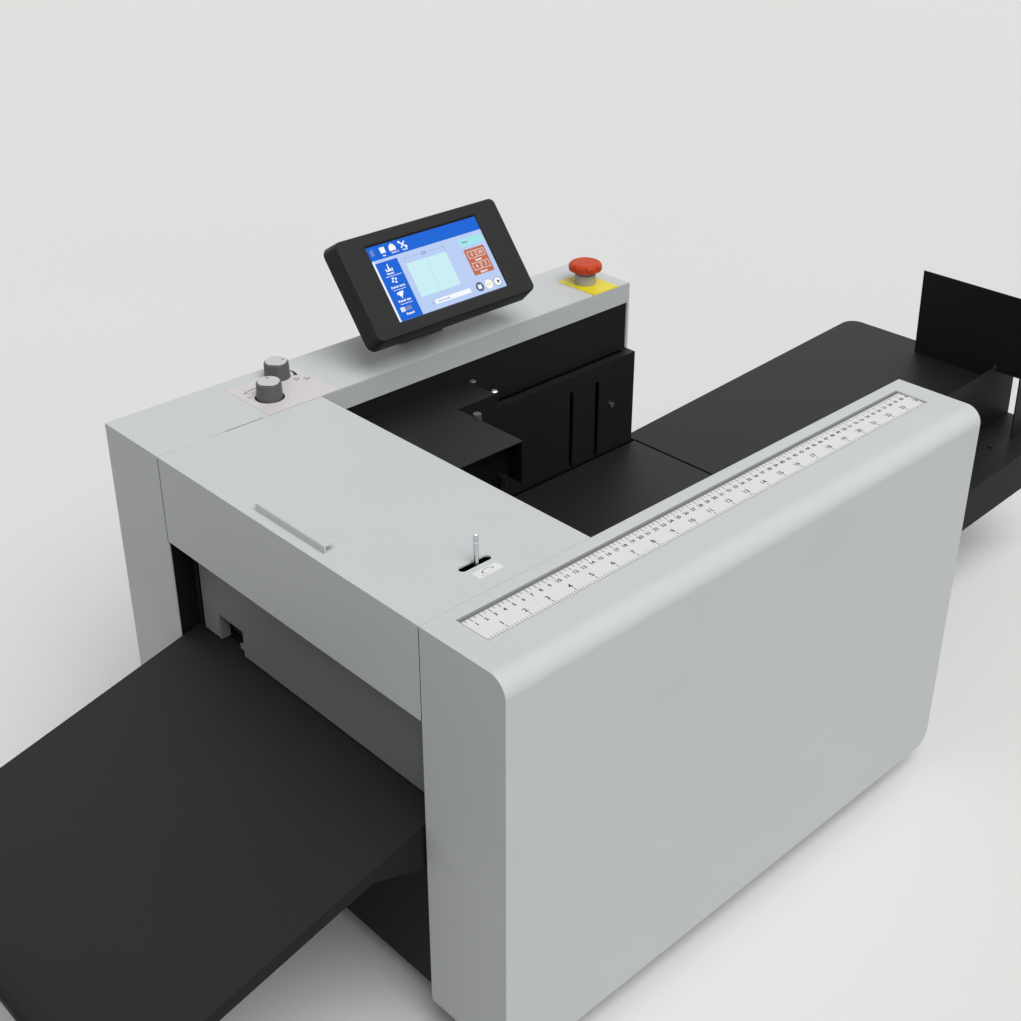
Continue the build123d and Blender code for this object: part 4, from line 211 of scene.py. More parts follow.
def material(name, **values):
    """A node material with plain values set on its shader: the material, its tree and Object coordinates."""
    made = bpy.data.materials.new(name)
    made.use_nodes = True
    tree = made.node_tree
    for key, value in values.items():
        tree.nodes["Principled BSDF"].inputs[key.replace("_", " ")].default_value = value
    return made, tree, add(tree, "TexCoord")


# ---------------------------------------------------------------- sizes and colours that a user would change
def length(name, description, default):
    """A length property; its default is given in millimetres."""
    return bpy.props.FloatProperty(name=name, description=description, default=mm(default), min=0.0,
                                   unit="LENGTH")


def colour(name, description, code):
    """A colour property; its default is given as an sRGB hex value."""
    return bpy.props.FloatVectorProperty(name=name, description=description, subtype="COLOR", size=4,
                                         min=0.0, max=1.0, default=linear(code))


class CreaserSizes(bpy.types.PropertyGroup):
    """Sizes of the finish: edges, seams, print and stage."""

    sheet_edge: length("Sheet edge", "Radius of the painted edges of folded sheet steel", 0.6)
    plate_edge: length("Plate edge", "Radius of the deburred edges of black and plated plates", 0.35)
    moulded_edge: length("Moulded edge", "Radius of the edges of moulded plastic", 0.5)
    small_edge: length("Small edge", "Radius of the edges of labels, caps and small fittings", 0.12)
    seam_width: length("Seam width", "Width of the groove along the tower's inner top edge", 0.8)
    seam_depth: length("Seam depth", "Depth of the groove along the tower's inner top edge", 1.2)
    ink: length("Ink thickness", "Thickness of printed marks", 0.04)
    centimetre_digit: length("Centimetre digits", "Height of the ruler's centimetre numbers", 3.9)
    inch_digit: length("Inch digits", "Height of the ruler's inch numbers", 5.0)
    stroke: length("Digit stroke", "How far the strokes of the ruler's numbers are widened", 0.17)
    floor_width: length("Floor width", "Width of the floor", 30000.0)


class CreaserColours(bpy.types.PropertyGroup):
    """Colours of the finishes."""

    case: colour("Case paint", "Powder coat of the cases and the cover", "#CDD1D1")
    black: colour("Black paint", "Powder coat of the bed, the tray and the plates", "#131314")
    # Middle grey: the exit plate's light grey paint, darkened as painted shade.
    grey_sheet: colour("Grey sheet", "Paint of the plate over the sheet exit", "#7E8080")
    rubber: colour("Rubber", "Rollers and feet", "#1E1E1F")
    knob: colour("Knob", "Moulded skirts of the two knobs", "#555657")
    cap: colour("Knob cap", "Moulded caps of the two knobs", "#C8CACB")
    stop_head: colour("Stop button", "Mushroom head of the stop button", "#CC4A26")
    stop_plate: colour("Stop plate", "Plate under the stop button", "#EBDC22")
    overlay: colour("Overlay", "Printed plate under the two knobs", "#D6D1D5")
    panel: colour("Panel", "Moulded housing of the touch panel", "#1E1E1F")
    screen_bar: colour("Screen bar", "Bars of the screen picture", "#1A68DC")
    screen_page: colour("Screen page", "Page of the screen picture", "#C0D4FB")
    screen_sheet: colour("Screen sheet", "Sheet drawn on the screen", "#CFF6FC")
    screen_counter: colour("Screen counter", "Counter field on the screen", "#C87158")
    floor: colour("Floor", "Plain floor of the stage", "#E4E4E2")


# ---------------------------------------------------------------- how each kind of surface is made
WAVE = 6.3      # a wave texture of scale 1 / (WAVE * width) has its bands two widths apart


def shade(value, share):
    """A linear colour made darker or lighter by a share."""
    return tuple(min(1.0, channel * share) for channel in value[:3]) + (1.0,)


def wire(made, factor, pattern, shades, gloss_range, strength, relief):
    """Let one pattern drive a shader's colour between two shades, and another its roughness and relief."""
    tree = made.node_tree
    shader = tree.nodes["Principled BSDF"]
    mixed = add(tree, "Mix", {"Factor": factor, 6: shades[0], 7: shades[1]}, data_type="RGBA")
    gloss = add(tree, "MapRange", {"Value": pattern, "To Min": gloss_range[0], "To Max": gloss_range[1]})
    skin = add(tree, "Bump", {"Height": pattern, "Strength": strength, "Distance": mm(relief)})
    tree.links.new(mixed.outputs[2], shader.inputs["Base Color"])
    tree.links.new(gloss.outputs["Result"], shader.inputs["Roughness"])
    tree.links.new(skin.outputs["Normal"], shader.inputs["Normal"])
    return made


def coated(name, base, grain=1.2, relief=0.02, rough=0.5, patch=90.0, spread=0.03, **values):
    """A skin with a fine relief and a slow drift in tone, as sprayed, dipped or moulded surfaces have."""
    made, tree, coords = material(name, **values)
    drift = add(tree, "TexNoise", {"Vector": (coords, "Object"), "Scale": 1000 / patch, "Detail": 3.0})
    lumps = add(tree, "TexNoise", {"Vector": (coords, "Object"), "Scale": 1000 / grain, "Detail": 2.0})
    tone = add(tree, "MapRange", {"Value": (drift, "Fac"), "From Min": 0.3, "From Max": 0.7})
    return wire(made, (tone, "Result"), (lumps, "Fac"), (shade(base, 1 - spread), shade(base, 1 + spread)),
                (rough - 0.06, rough + 0.06), 0.6, relief)


def metal(name, code, lay=(1.0, 1.0, 1.0), grain=0.8, relief=0.004, rough=0.25, spread=0.08):
    """Bare or plated metal; lay stretches its marks along the axes where it is small."""
    made, tree, coords = material(name, Metallic=1.0)
    base = linear(code)
    turned_way = add(tree, "Mapping", {"Vector": (coords, "Object"), "Scale": lay})
    marks = add(tree, "TexNoise", {"Vector": (turned_way, "Vector"), "Scale": 1000 / grain, "Detail": 3.0})
    tone = add(tree, "MapRange", {"Value": (marks, "Fac"), "From Min": 0.35, "From Max": 0.65})
    return wire(made, (tone, "Result"), (marks, "Fac"), (shade(base, 1 - spread), shade(base, 1 + spread)),
                (rough * 0.7, rough * 1.3), 0.5, relief)


def woven(name, base, thread=0.9, rough=0.75):
    """Plain weave: two sets of threads at right angles."""
    made, tree, coords = material(name)
    warp, weft = (add(tree, "TexWave", {"Vector": (coords, "Object"), "Scale": 1000 / thread / WAVE},
                      bands_direction=axis) for axis in ("X", "Y"))
    cross = add(tree, "Math", {0: (warp, "Fac"), 1: (weft, "Fac")}, operation="MULTIPLY")
    return wire(made, (cross, "Value"), (cross, "Value"), (shade(base, 0.7), shade(base, 1.25)),
                (rough + 0.1, rough - 0.1), 0.7, 0.15)


def lit(name, base, strength=0.82):
    """A lit area of a liquid-crystal display; its dots' unevenness is drawn at 0.9 mm so that it shows."""
    made, tree, coords = material(name, Roughness=0.28, Specular_IOR_Level=0.1)
    shader = tree.nodes["Principled BSDF"]
    dots = add(tree, "TexNoise", {"Vector": (coords, "Object"), "Scale": 1000 / 0.9, "Detail": 1.0})
    mixed = add(tree, "Mix", {"Factor": (dots, "Fac"), 6: shade(base, 0.97), 7: shade(base, 1.03)},
                data_type="RGBA")
    shader.inputs["Base Color"].default_value = shade(base, 0.12)
    shader.inputs["Emission Strength"].default_value = strength
    tree.links.new(mixed.outputs[2], shader.inputs["Emission Color"])
    return made


FINISHES = {}


def painted_finishes(paint):
    """Paint, print and labels."""
    # Polyester powder on folded steel: satin, with a faint orange peel drawn at 1.6 mm so that it shows.
    FINISHES["case_paint"] = coated("light_grey_powder_coat", paint.case, 1.6, 0.012, 0.5, spread=0.012,
                                    Specular_IOR_Level=0.35)
    # Fine-texture black powder: a sandy grain under 1 mm that scatters the light.
    FINISHES["black_paint"] = coated("black_texture_powder_coat", paint.black, 0.9, 0.04, 0.52, spread=0.08,
                                     Specular_IOR_Level=0.26)
    # The plate over the exit: light grey powder like the cases, given a middle grey as painted shade from the
    # bridge over it, with half the black one's relief.
    FINISHES["grey_sheet"] = coated("grey_powder_coat", paint.grey_sheet, 1.1, 0.02, 0.5, spread=0.02,
                                    Specular_IOR_Level=0.35)
    # Screen-printed polycarbonate film of the ruler, the overlay and the label, with a fine matt grain.
    FINISHES["ruler_white"] = coated("ruler_film", linear("#E4E4E3"), 0.5, 0.004, 0.42, spread=0.01)
    FINISHES["overlay_white"] = coated("overlay_film", paint.overlay, 0.5, 0.005, 0.45, spread=0.012)
    FINISHES["label_film"] = coated("label_film", linear("#E8E8E6"), 0.5, 0.004, 0.4, spread=0.01)
    # Printing inks in black and two greys, flat and slightly uneven; the first grey is also painted shade on
    # the ruler window's wall and rim.
    FINISHES["ink"] = coated("black_printing_ink", linear("#101011"), 0.7, 0.003, 0.5, spread=0.12,
                             Specular_IOR_Level=0.2)
    FINISHES["border_ink_and_shade"] = coated("border_printing_ink", linear("#828384"), 0.7, 0.003, 0.5, spread=0.03)
    FINISHES["faint_ink"] = coated("grey_printing_ink", linear("#949196"), 0.7, 0.003, 0.5, spread=0.03)


def plastic_finishes(paint):
    """Moulded plastics and rubbers."""
    # Knob skirts and caps: ABS with a fine spark-eroded grain.
    FINISHES["knob_grey"] = coated("knob_abs_grey", paint.knob, 0.6, 0.015, 0.45, spread=0.03)
    FINISHES["knob_cap"] = coated("knob_abs_pale", paint.cap, 0.6, 0.008, 0.4, spread=0.015)
    # Stop button head: satin polyamide with faint flow marks.
    FINISHES["stop_red"] = coated("stop_polyamide_red", paint.stop_head, 1.4, 0.008, 0.45, spread=0.05,
                                  Specular_IOR_Level=0.12)
    # Its plate and its collar: smoother mouldings with a finer grain.
    FINISHES["stop_yellow"] = coated("stop_plate_yellow", paint.stop_plate, 0.9, 0.006, 0.42, spread=0.03)
    FINISHES["stop_grey"] = coated("stop_collar_grey", linear("#B2B2B6"), 0.7, 0.01, 0.36, spread=0.04)
    # Panel housing: ABS with a leather-fine moulded texture.
    FINISHES["panel_black"] = coated("panel_abs_black", paint.panel, 0.8, 0.035, 0.5, spread=0.05,
                                     Specular_IOR_Level=0.22)
    # Glass-filled polyamide of the mains inlet, the switch and small electrical bodies.
    FINISHES["inlet_black"] = coated("inlet_polyamide", linear("#17171A"), 0.9, 0.02, 0.42, spread=0.1)
    # PVC ducts, with long drift from extrusion.
    FINISHES["duct_plastic"] = coated("duct_pvc", linear("#1B1C1D"), 2.5, 0.02, 0.45, spread=0.06)
    # Nitrile sleeves, ground after moulding: matt, with a fine even grain.
    FINISHES["roller_rubber"] = coated("ground_nitrile_rubber", paint.rubber, 0.5, 0.02, 0.72, spread=0.1,
                                       Specular_IOR_Level=0.3)
    # Near-black matt strips laid in the joints and gaps: painted shade, so that each reads as a deep gap.
    FINISHES["seal"] = coated("seal_rubber", linear("#050505"), 0.6, 0.02, 0.8, spread=0.1,
                              Specular_IOR_Level=0.02)
    # Neoprene of the toothed belt, and rubber of the feet: matt, with a coarser grain than the sleeves.
    FINISHES["belt_rubber"] = coated("neoprene_belt", linear("#161617"), 0.8, 0.03, 0.68, spread=0.12,
                                     Specular_IOR_Level=0.3)
    FINISHES["foot_rubber"] = coated("moulded_foot_rubber", paint.rubber, 1.2, 0.03, 0.7, spread=0.1,
                                     Specular_IOR_Level=0.3)
    # Polyester belt cloth with a urethane face: the weave shows through.
    FINISHES["vacuum_belt"] = woven("polyester_belt_cloth", linear("#2B3A46"))
    # Epoxy glass board under green solder mask: its tone changes every few millimetres, as tracks make it.
    FINISHES["board_green"] = coated("board_solder_mask", linear("#1C5A36"), 3.0, 0.03, 0.35, patch=6.0,
                                     spread=0.25)


def metal_finishes():
    """Bare, plated and cast metals."""
    # Bright zinc plate on mild steel: a faint spangle.
    FINISHES["zinc_steel"] = metal("zinc_plated_steel", "#B9BDBF", grain=6.0, relief=0.006, rough=0.36)
    # Hard chrome on turned steel: bright, with faint marks drawn out along Z.
    FINISHES["bright_steel"] = metal("chrome_plated_steel", "#D5D7D9", lay=(1.0, 1.0, 0.2), grain=0.7,
                                     rough=0.2, relief=0.002, spread=0.03)
    # Ground steel shafting: marks run round the shaft, across X.
    FINISHES["ground_steel"] = metal("ground_steel", "#AEB0B2", lay=(1.0, 0.12, 0.12), grain=0.5, rough=0.28)
    # Manganese-phosphated steel studs: matt dark grey; the far pin gets it too, as painted shade.
    FINISHES["phosphate"] = coated("phosphated_steel", linear("#55575A"), 0.5, 0.01, 0.5, spread=0.06)
    # Oil-filled sintered bronze: fine open grain.
    FINISHES["bush_bronze"] = metal("sintered_bronze", "#A27A48", grain=0.7, relief=0.02, rough=0.42,
                                    spread=0.12)
    # Machined aluminium of pulleys, belt rollers, blade carrier and impeller: fine marks along X.
    FINISHES["alloy"] = metal("machined_aluminium", "#B4B6B7", lay=(0.15, 1.0, 1.0), grain=0.6, rough=0.32)
    # Black-anodised aluminium of the motors and the blower: a dark satin.
    FINISHES["motor_black"] = metal("black_anodised_aluminium", "#26272A", grain=0.9, relief=0.006, rough=0.4)


def screen_finishes(paint):
    """The colours of the lit screen."""
    # Glass over a backlit display: each area shines in its own colour.
    FINISHES["screen"] = lit("screen_page", paint.screen_page)
    for part in ("screen_bar", "screen_sheet", "screen_counter"):
        FINISHES[part] = lit(part, getattr(paint, part))
    codes = {"white": "#F4F7FC", "status": "#A8ECF1", "line": "#92AECB", "grey": "#5F6E88",
             "faint": "#7B8CD0", "dark": "#2E4A46", "yellow": "#DEDB6A"}
    for part, code in codes.items():
        strength = 0.9 if part in ("white", "yellow") else 0.82
        FINISHES["screen_" + part] = lit("screen_" + part, linear(code), strength)


# ---------------------------------------------------------------- dressing the frame's nodes
# Each row: finish, edge size, whether flat faces are merged before the edges are rounded, and the nodes.
CASES = (
    ("case_paint", "sheet_edge", True, ("casing_shell", "bridge_cover", "cover_handle")),
)
PLATES = (
    ("grey_sheet", "plate_edge", True, ("exit_plate",)),
    ("black_paint", "plate_edge", True,
     ("extension_table", "extension_beam", "back_stop", "delivery_tray", "tower_inner_wall",
      "casing_inner_wall", "bridge_rear_panel", "side_guide", "paper_guides")),
    ("black_paint", "plate_edge", False,
     ("feed_head_cover", "side_plate", "feed_bed", "lower_panels", "bridge_frame")),
)
WORKS = (
    ("zinc_steel", "plate_edge", True, ("suction_box",)),
    ("zinc_steel", "plate_edge", False, ("base_pan",)),
    ("bush_bronze", "small_edge", True, ("bearing_bushes",)),
    ("motor_black", "plate_edge", True, ("drive_motors", "blower")),
    ("alloy", "small_edge", True, ("blade_carrier",)),
    ("ground_steel", "small_edge", True, ("crease_anvil",)),
    ("duct_plastic", "small_edge", True, ("air_ducts",)),
    ("foot_rubber", "moulded_edge", True, ("rubber_feet",)),
)
PANEL = (
    ("panel_black", "moulded_edge", True, ("panel_rear",)),
    ("panel_black", "moulded_edge", False, ("panel_bezel",)),
    ("black_paint", "plate_edge", True, ("panel_stand",)),
    ("screen", "small_edge", True, ("display_glass",)),
)
STOP_BUTTON = (
    ("stop_yellow", "small_edge", True, ("estop_plate",)),
    ("stop_grey", "moulded_edge", True, ("estop_collar", "estop_stem")),
    ("stop_red", "moulded_edge", True, ("estop_head",)),
)
# Belts, wheels with teeth or blades and the eccentric shaft keep the frame's own skin: finish and nodes.
BARE = (
    ("belt_rubber", ("timing_belt",)),
    ("vacuum_belt", ("vacuum_belts",)),
    ("alloy", ("motor_pulley", "blower_impeller")),
    ("ground_steel", ("eccentric_shaft", "crease_pinion")),
)
# How a finish is made ends its pieces' names; those not listed are moulded.
MADE_BY = {
    "case_paint": "painted", "grey_sheet": "painted", "black_paint": "painted", "zinc_steel": "plated",
    "bush_bronze": "sintered", "alloy": "machined", "ground_steel": "ground", "bright_steel": "chromed",
    "motor_black": "anodised", "overlay_white": "printed", "ruler_white": "printed", "screen": "lit",
}


def copied(node, merged):
    """A welded copy of a CAD node's skin, with its flat faces merged if asked, ready to be worked on."""
    source = NODES[node]
    pick(source)
    bpy.ops.object.duplicate()
    piece = bpy.context.object
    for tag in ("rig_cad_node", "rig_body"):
        del piece[tag]
    piece.parent = None
    bpy.ops.mesh.customdata_custom_splitnormals_clear()
    bpy.ops.object.mode_set(mode="EDIT")
    bpy.ops.mesh.select_all(action="SELECT")
    bpy.ops.mesh.remove_doubles(threshold=mm(0.01))
    if merged:
        bpy.ops.mesh.dissolve_limited(angle_limit=radians(0.5))
    return done(piece)


def dress(node, kind, edge, merged=True, cutters=()):
    """Copy a node's skin, cut and round it, and let the copy stand for the node."""
    piece = copied(node, merged)
    for cutter in cutters:
        modify(piece, "BOOLEAN", object=cutter, operation="DIFFERENCE", solver="EXACT")
        bpy.data.objects.remove(cutter)
    size = getattr(bpy.context.scene.creaser_sizes, edge)
    modify(piece, "BEVEL", width=size, segments=2, limit_method="ANGLE", angle_limit=radians(30),
           miter_outer="MITER_ARC", use_clamp_overlap=merged)
    pick(piece)
    bpy.ops.object.shade_smooth_by_angle(angle=radians(SHARP))
    modify(piece, "WEIGHTED_NORMAL", keep_sharp=True)
    name = node + "_" + MADE_BY.get(kind, "moulded")
    finish(piece, name, kind, NODES[node]["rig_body"])
    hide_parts(node)
    return piece


def dress_all(rows):
    """Dress every node of a table."""
    for kind, edge, merged, nodes in rows:
        for node in nodes:
            dress(node, kind, edge, merged)


def recoat(piece, kind, wanted):
    """Give the faces that wanted() says yes to another finish."""
    piece.data.materials.append(FINISHES[kind])
    edit(piece, "FACE", wanted)
    piece.active_material_index = len(piece.data.materials) - 1
    bpy.ops.object.material_slot_assign()
    return done(piece)


# ---------------------------------------------------------------- modelling helpers
def put(piece, x, y, z, turn=(0, 0, 0)):
    """Turn a piece that was made at the world's middle, set it at a place of the machine and settle it."""
    piece.rotation_euler = [radians(angle) for angle in turn]
    piece.location = place(x, y, z)
    return settle(piece)


def row(piece, count, step):
    """Repeat a piece along Y."""
    return modify(piece, "ARRAY", count=count, use_relative_offset=False, use_constant_offset=True,
                  constant_offset_displace=(0, mm(step), 0))


def number(text, height, thickness, bold=0.0):
    """A printed number as a mesh, centred at the world's middle and lying flat; bold widens its strokes."""
    rest()
    bpy.ops.object.text_add()
    words = bpy.context.object
    words.data.body = text
    words.data.size = height / DIGIT_SHARE
    words.data.align_x = "CENTER"
    words.data.align_y = "CENTER"
    words.data.extrude = thickness / 2
    words.data.offset = bold
    words.data.resolution_u = 2
    bpy.ops.object.convert(target="MESH")
    return bpy.context.object


def arc(radius, first, last, start_width, end_width, thickness):
    """A printed arc about the world's middle: its angles from X in degrees, and its width at each end."""
    rest()
    steps = max(3, int(abs(last - first) / ARC_STEP))
    turn = radians((last - first) / steps)
    bpy.ops.mesh.primitive_plane_add(size=1)
    piece = bpy.context.object
    piece.scale = (mm(start_width), mm(0.02), 1)
    piece.location = (mm(radius), 0, 0)
    settle(piece)
    toward = 1 if last > first else -1
    edit(piece, "EDGE", lambda one, other: min(one.y * toward, other.y * toward) > 0)
    width = start_width
    for step in range(1, steps + 1):
        wider = start_width + (end_width - start_width) * step / steps
        angle = turn * step
        middle = (mm(radius) * cos(angle), mm(radius) * sin(angle), 0)
        bpy.ops.mesh.extrude_region_move(TRANSFORM_OT_translate={"value": (0, 0, 0)})
        bpy.ops.transform.rotate(value=-turn, orient_axis="Z", center_override=(0, 0, 0))
        share = wider / width
        bpy.ops.transform.resize(value=(share, share, 1), center_override=middle)
        width = wider
    bpy.ops.mesh.select_all(action="SELECT")
    bpy.ops.mesh.remove_doubles(threshold=mm(0.005))
    bpy.ops.mesh.normals_make_consistent(inside=False)
    done(piece)
    modify(piece, "SOLIDIFY", thickness=thickness, offset=0)
    piece.rotation_euler = (0, 0, radians(first))
    return settle(piece)


def flat(u0, u1, v0, v1, rise, thickness, turn=0):
    """A thin flat tile about the world's middle: its sides in millimetres, turned in its own plane."""
    rest()
    bpy.ops.mesh.primitive_cube_add(size=1, scale=(mm(u1 - u0), mm(v1 - v0), mm(thickness)))
    piece = bpy.context.object
    piece.rotation_euler = (0, 0, radians(turn))
    piece.location = (mm((u0 + u1) / 2), mm((v0 + v1) / 2), mm(rise + thickness / 2))
    return settle(piece)


def spot(u, v, radius, rise, thickness, sides=36, turn=0):
    """A thin round or many-sided spot about the world's middle."""
    rest()
    bpy.ops.mesh.primitive_cylinder_add(vertices=sides, radius=mm(radius), depth=mm(thickness))
    piece = bpy.context.object
    piece.rotation_euler = (0, 0, radians(turn))
    piece.location = (mm(u), mm(v), mm(rise + thickness / 2))
    return settle(piece)


def within(low, high):
    """Yes to faces whose middle lies between two corners, given in the machine's millimetres."""
    near = place(*low)
    far = place(*high)
    return lambda centre: all(near[axis] <= centre[axis] <= far[axis] for axis in range(3))


def about_axis(node, radius):
    """Yes to faces closer than a radius, in millimetres, to the X axis through a node's middle."""
    low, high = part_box(node)
    middle = (low + high) / 2
    return lambda centre: Vector((centre.y - middle.y, centre.z - middle.z)).length < mm(radius)


# ---------------------------------------------------------------- cases, plates and works
LAND = 0.6                       # between the tower's inner edge and its groove
BED_END = 662.2                  # where the strip beside the bed meets the one across its end
ROOT_DEPTH = 13.7                # the tray's floor under the exit plate, along its slope
ROOT_THICKNESS = 1.8
ROOT_MIDDLE = (23.07, 255.2)     # y and z
TRAY_SLOPE = 14.3                # degrees


def build_cases():
    """The tower with its seam, the ruler casing, the cover, its handle, strips of painted shade in their
    joints and a painted strip that fills one.
    """
    sizes = bpy.context.scene.creaser_sizes
    depth = sizes.seam_depth * 1000
    left, right = -LAND - sizes.seam_width * 1000, -LAND
    cover_low, cover_high = box_mm("bridge_cover")
    start, end = cover_high.y, box_mm("tower_shell")[1].y - 1
    seam = plate(left, right, start, end, TOP - depth, TOP + 1)
    dress("tower_shell", "case_paint", "sheet_edge", True, (seam,))
    dress_all(CASES)
    # Strips of painted shade: in the joint left of the cover, on the floors of the tower's notch and of its
    # groove.
    gap_shades = [plate(0.03, 0.25, 1, cover_high.y - 1, TOP - 6, TOP - 0.3),
             plate(-1.25, -0.05, 76.5, 120.7, TOP - 1.6, TOP - 0.9),
             plate(left + 0.02, right - 0.02, start + 0.5, end - 0.5, TOP - depth, TOP - 0.5)]
    # More painted shade: in the joint behind the side plate, the one at its foot, and the one between bed and
    # extension.
    side_low, side_high = box_mm("side_plate")
    bed = box_mm("feed_bed")[1].z
    gap_shades += [plate(0.03, 6.5, side_low.y + 1, side_high.y - 12, side_high.z, side_high.z + 0.25),
              plate(17.06, 21.2, side_low.y + 1, BED_END, bed, bed + 0.2),
              plate(20.5, 259.4, BED_END + 0.1, BED_END + 3.1, bed, bed + 0.2)]
    # Painted shade in the two upright joints beside the cover's front.
    edge = cover_high.x
    gap_shades += [plate(x0, x1, -0.08, 0.3, cover_low.z + 0.4, TOP - 2)
              for x0, x1 in ((-0.35, 0.2), (edge + 0.05, edge + 0.55))]
    finish(join(gap_shades), "seam_seals_moulded", "seal", "machine")
    # The tray's floor runs on under the exit plate.
    tray_low, tray_high = box_mm("delivery_tray")
    rest()
    bpy.ops.mesh.primitive_cube_add(size=1, scale=(mm(tray_high.x - tray_low.x - 0.2), mm(ROOT_DEPTH),
                                                   mm(ROOT_THICKNESS)))
    root = put(bpy.context.object, (tray_low.x + tray_high.x) / 2, *ROOT_MIDDLE, turn=(TRAY_SLOPE, 0, 0))
    finish(root, "tray_root_painted", "black_paint", "machine")
    # A painted strip closes the joint right of the cover.
    filler = plate(edge + 0.03, edge + 0.27, 1, cover_high.y - 1, TOP - 3, TOP - 0.25)
    finish(filler, "casing_gap_filler", "case_paint", "machine")


FAR_SIDE = (600, 700, 500)       # a corner past every part of the works
ROLLERS = ("infeed_lower_roller", "infeed_upper_roller", "exit_lower_roller", "exit_upper_roller",
           "belt_drive_roller", "belt_idler_roller")
SHAFT_REACH = 5.2                # faces nearer to a roller's axis belong to its bare shaft


def build_works():
    """The base, the drive, the rollers and the electrical parts."""
    dress_all(WORKS)
    # The motors' plates and their posts.
    recoat(bpy.data.objects["drive_motors_anodised"], "zinc_steel", within((-50.1, 0, 0), (0, 600, 600)))
    for kind, nodes in BARE:
        for node in nodes:
            NODES[node].data.materials.clear()
            NODES[node].data.materials.append(FINISHES[kind])
    for node in ROLLERS:
        roller = dress(node, "alloy" if "belt" in node else "roller_rubber", "small_edge")
        recoat(roller, "ground_steel", about_axis(node, SHAFT_REACH))
        # The pulley, where a roller has one.
        recoat(roller, "alloy", within((-60, 0, 0), (-8, 700, 500)))
    # The power supply's case, on the right, and the parts that stand up from the board in the tower.
    boards = dress("electronics", "board_green", "small_edge", False)
    recoat(boards, "zinc_steel", within((300, 0, 0), FAR_SIDE))
    recoat(boards, "inlet_black", within((-86.5, 0, 0), (-40, 700, 500)))
    # The potentiometers' bodies, under their plate.
    controls = dress("potentiometers", "zinc_steel", "small_edge")
    recoat(controls, "inlet_black", within((-99, 0, 0), (0, 700, TOP - 12)))


def build_pins():
    """Screws and posts of the feed head, each by its place, and the lever."""
    pins = dress("pins_and_screws", "bright_steel", "small_edge")
    head_top = box_mm("feed_head_cover")[1]
    nose = head_top.y
    # In turn: the far pin, whose dark grey is painted shade, the stud, the post, and the feet of both pins
    # below the head's top.
    recoat(pins, "phosphate", within((0, nose - 1, 0), (30, nose + 10, TOP)))
    recoat(pins, "phosphate", within((50, 300, 0), (100, nose - 1, TOP)))
    recoat(pins, "black_paint", within((100, 300, 0), (200, nose - 1, TOP)))
    recoat(pins, "black_paint", within((-20, nose - 1, 0), (60, nose + 10, head_top.z - 2)))
    dress("release_lever", "bright_steel", "small_edge")


def build_mains():
    """The mains inlet and the rocker switch with its two marks."""
    dress("mains_inlet", "inlet_black", "small_edge")
    dress("power_rocker", "inlet_black", "small_edge")
    low, high = box_mm("power_rocker")
    ink = bpy.context.scene.creaser_sizes.ink
    across = (low.x + high.x) / 2
    middle = (low.z + high.z) / 2
    # Each half of the rocker leans its own way, and its mark with it.
    on = put(number("I", mm(3.4), ink), across, high.y - 1.36, middle + 5, (107.5, 0, 180))
    off = put(number("O", mm(3.4), ink), across, high.y - 2.78, middle - 4.5, (88.4, 0, 180))
    finish(join([on, off]), "rocker_marks_printed", "label_film", "rocker")


# ---------------------------------------------------------------- controls on the tower
# The three fan symbols (x, y and size) and the dots of the scales.
SYMBOLS = ((-51.5, 199.2, 4.2), (-45.5, 208.4, 4.2), (-47.0, 137.0, 2.2))
SCALE_DOTS = ((-66.0, 143.3), (-54.3, 146.8), (-38.0, 137.1), (-21.4, 146.8), (-20.9, 167.1))


def build_controls():
    """The overlay with its printed arcs, and both knobs with their caps."""
    ink = bpy.context.scene.creaser_sizes.ink
    thin = ink * 500    # spots print half as thick as arcs, in millimetres
    dress("knob_overlay", "overlay_white", "small_edge")
    level = box_mm("knob_overlay")[1].z
    front = knob_middle("knob_front")
    rear = knob_middle("knob_rear")
    dark = [put(arc(28.0, 210, 152, 0.7, 1.5, ink), *front, level),
            put(spot(-24.2, -14.0, 1.2, 0, thin), *front, level),
            put(arc(19.2, 106, 56, 1.2, 4.2, ink), *rear, level)]
    finish(join(dark), "overlay_marks_printed", "ink", "machine")
    # A near-black ring in the gap round the front knob's skirt: painted shade.
    gap = put(arc(14.8, 0, 360, 1.1, 1.1, ink), *front, TOP - 0.4)
    finish(gap, "knob_gap_seal", "seal", "machine")
    faint = []
    for x, y, size in SYMBOLS:
        reach = size * 0.55
        for turn in (radians(90), radians(210), radians(330)):
            blade = spot(reach * cos(turn), reach * sin(turn), size * 0.42, 0, thin, 18)
            faint.append(put(blade, x, y, level))
    faint += [put(spot(0, 0, 0.8, 0, thin, 18), x, y, level) for x, y in SCALE_DOTS]
    finish(join(faint), "overlay_symbols_printed", "faint_ink", "machine")
    for node in ("knob_front", "knob_rear"):
        dress(node, "knob_grey", "moulded_edge")
        cap = dress(node + "_cap", "knob_cap", "small_edge")
        # The dimple that shows the setting.
        low, high = box_mm(node + "_cap")
        recoat(cap, "ink", within(low + Vector((1, 1, 0.3)), high - Vector((1, 1, 0.4))))


def knob_middle(node):
    """A knob's middle in the machine's millimetres."""
    low, high = box_mm(node)
    return (low.x + high.x) / 2, (low.y + high.y) / 2


LABEL_THICKNESS = 0.15
LABEL_DOTS = ((362.2, 88.3, 0.9), (362.1, 99.8, 0.9), (365.8, 85.0, 0.45), (365.9, 87.3, 0.45),
              (365.8, 89.9, 0.45))      # x, y and radius


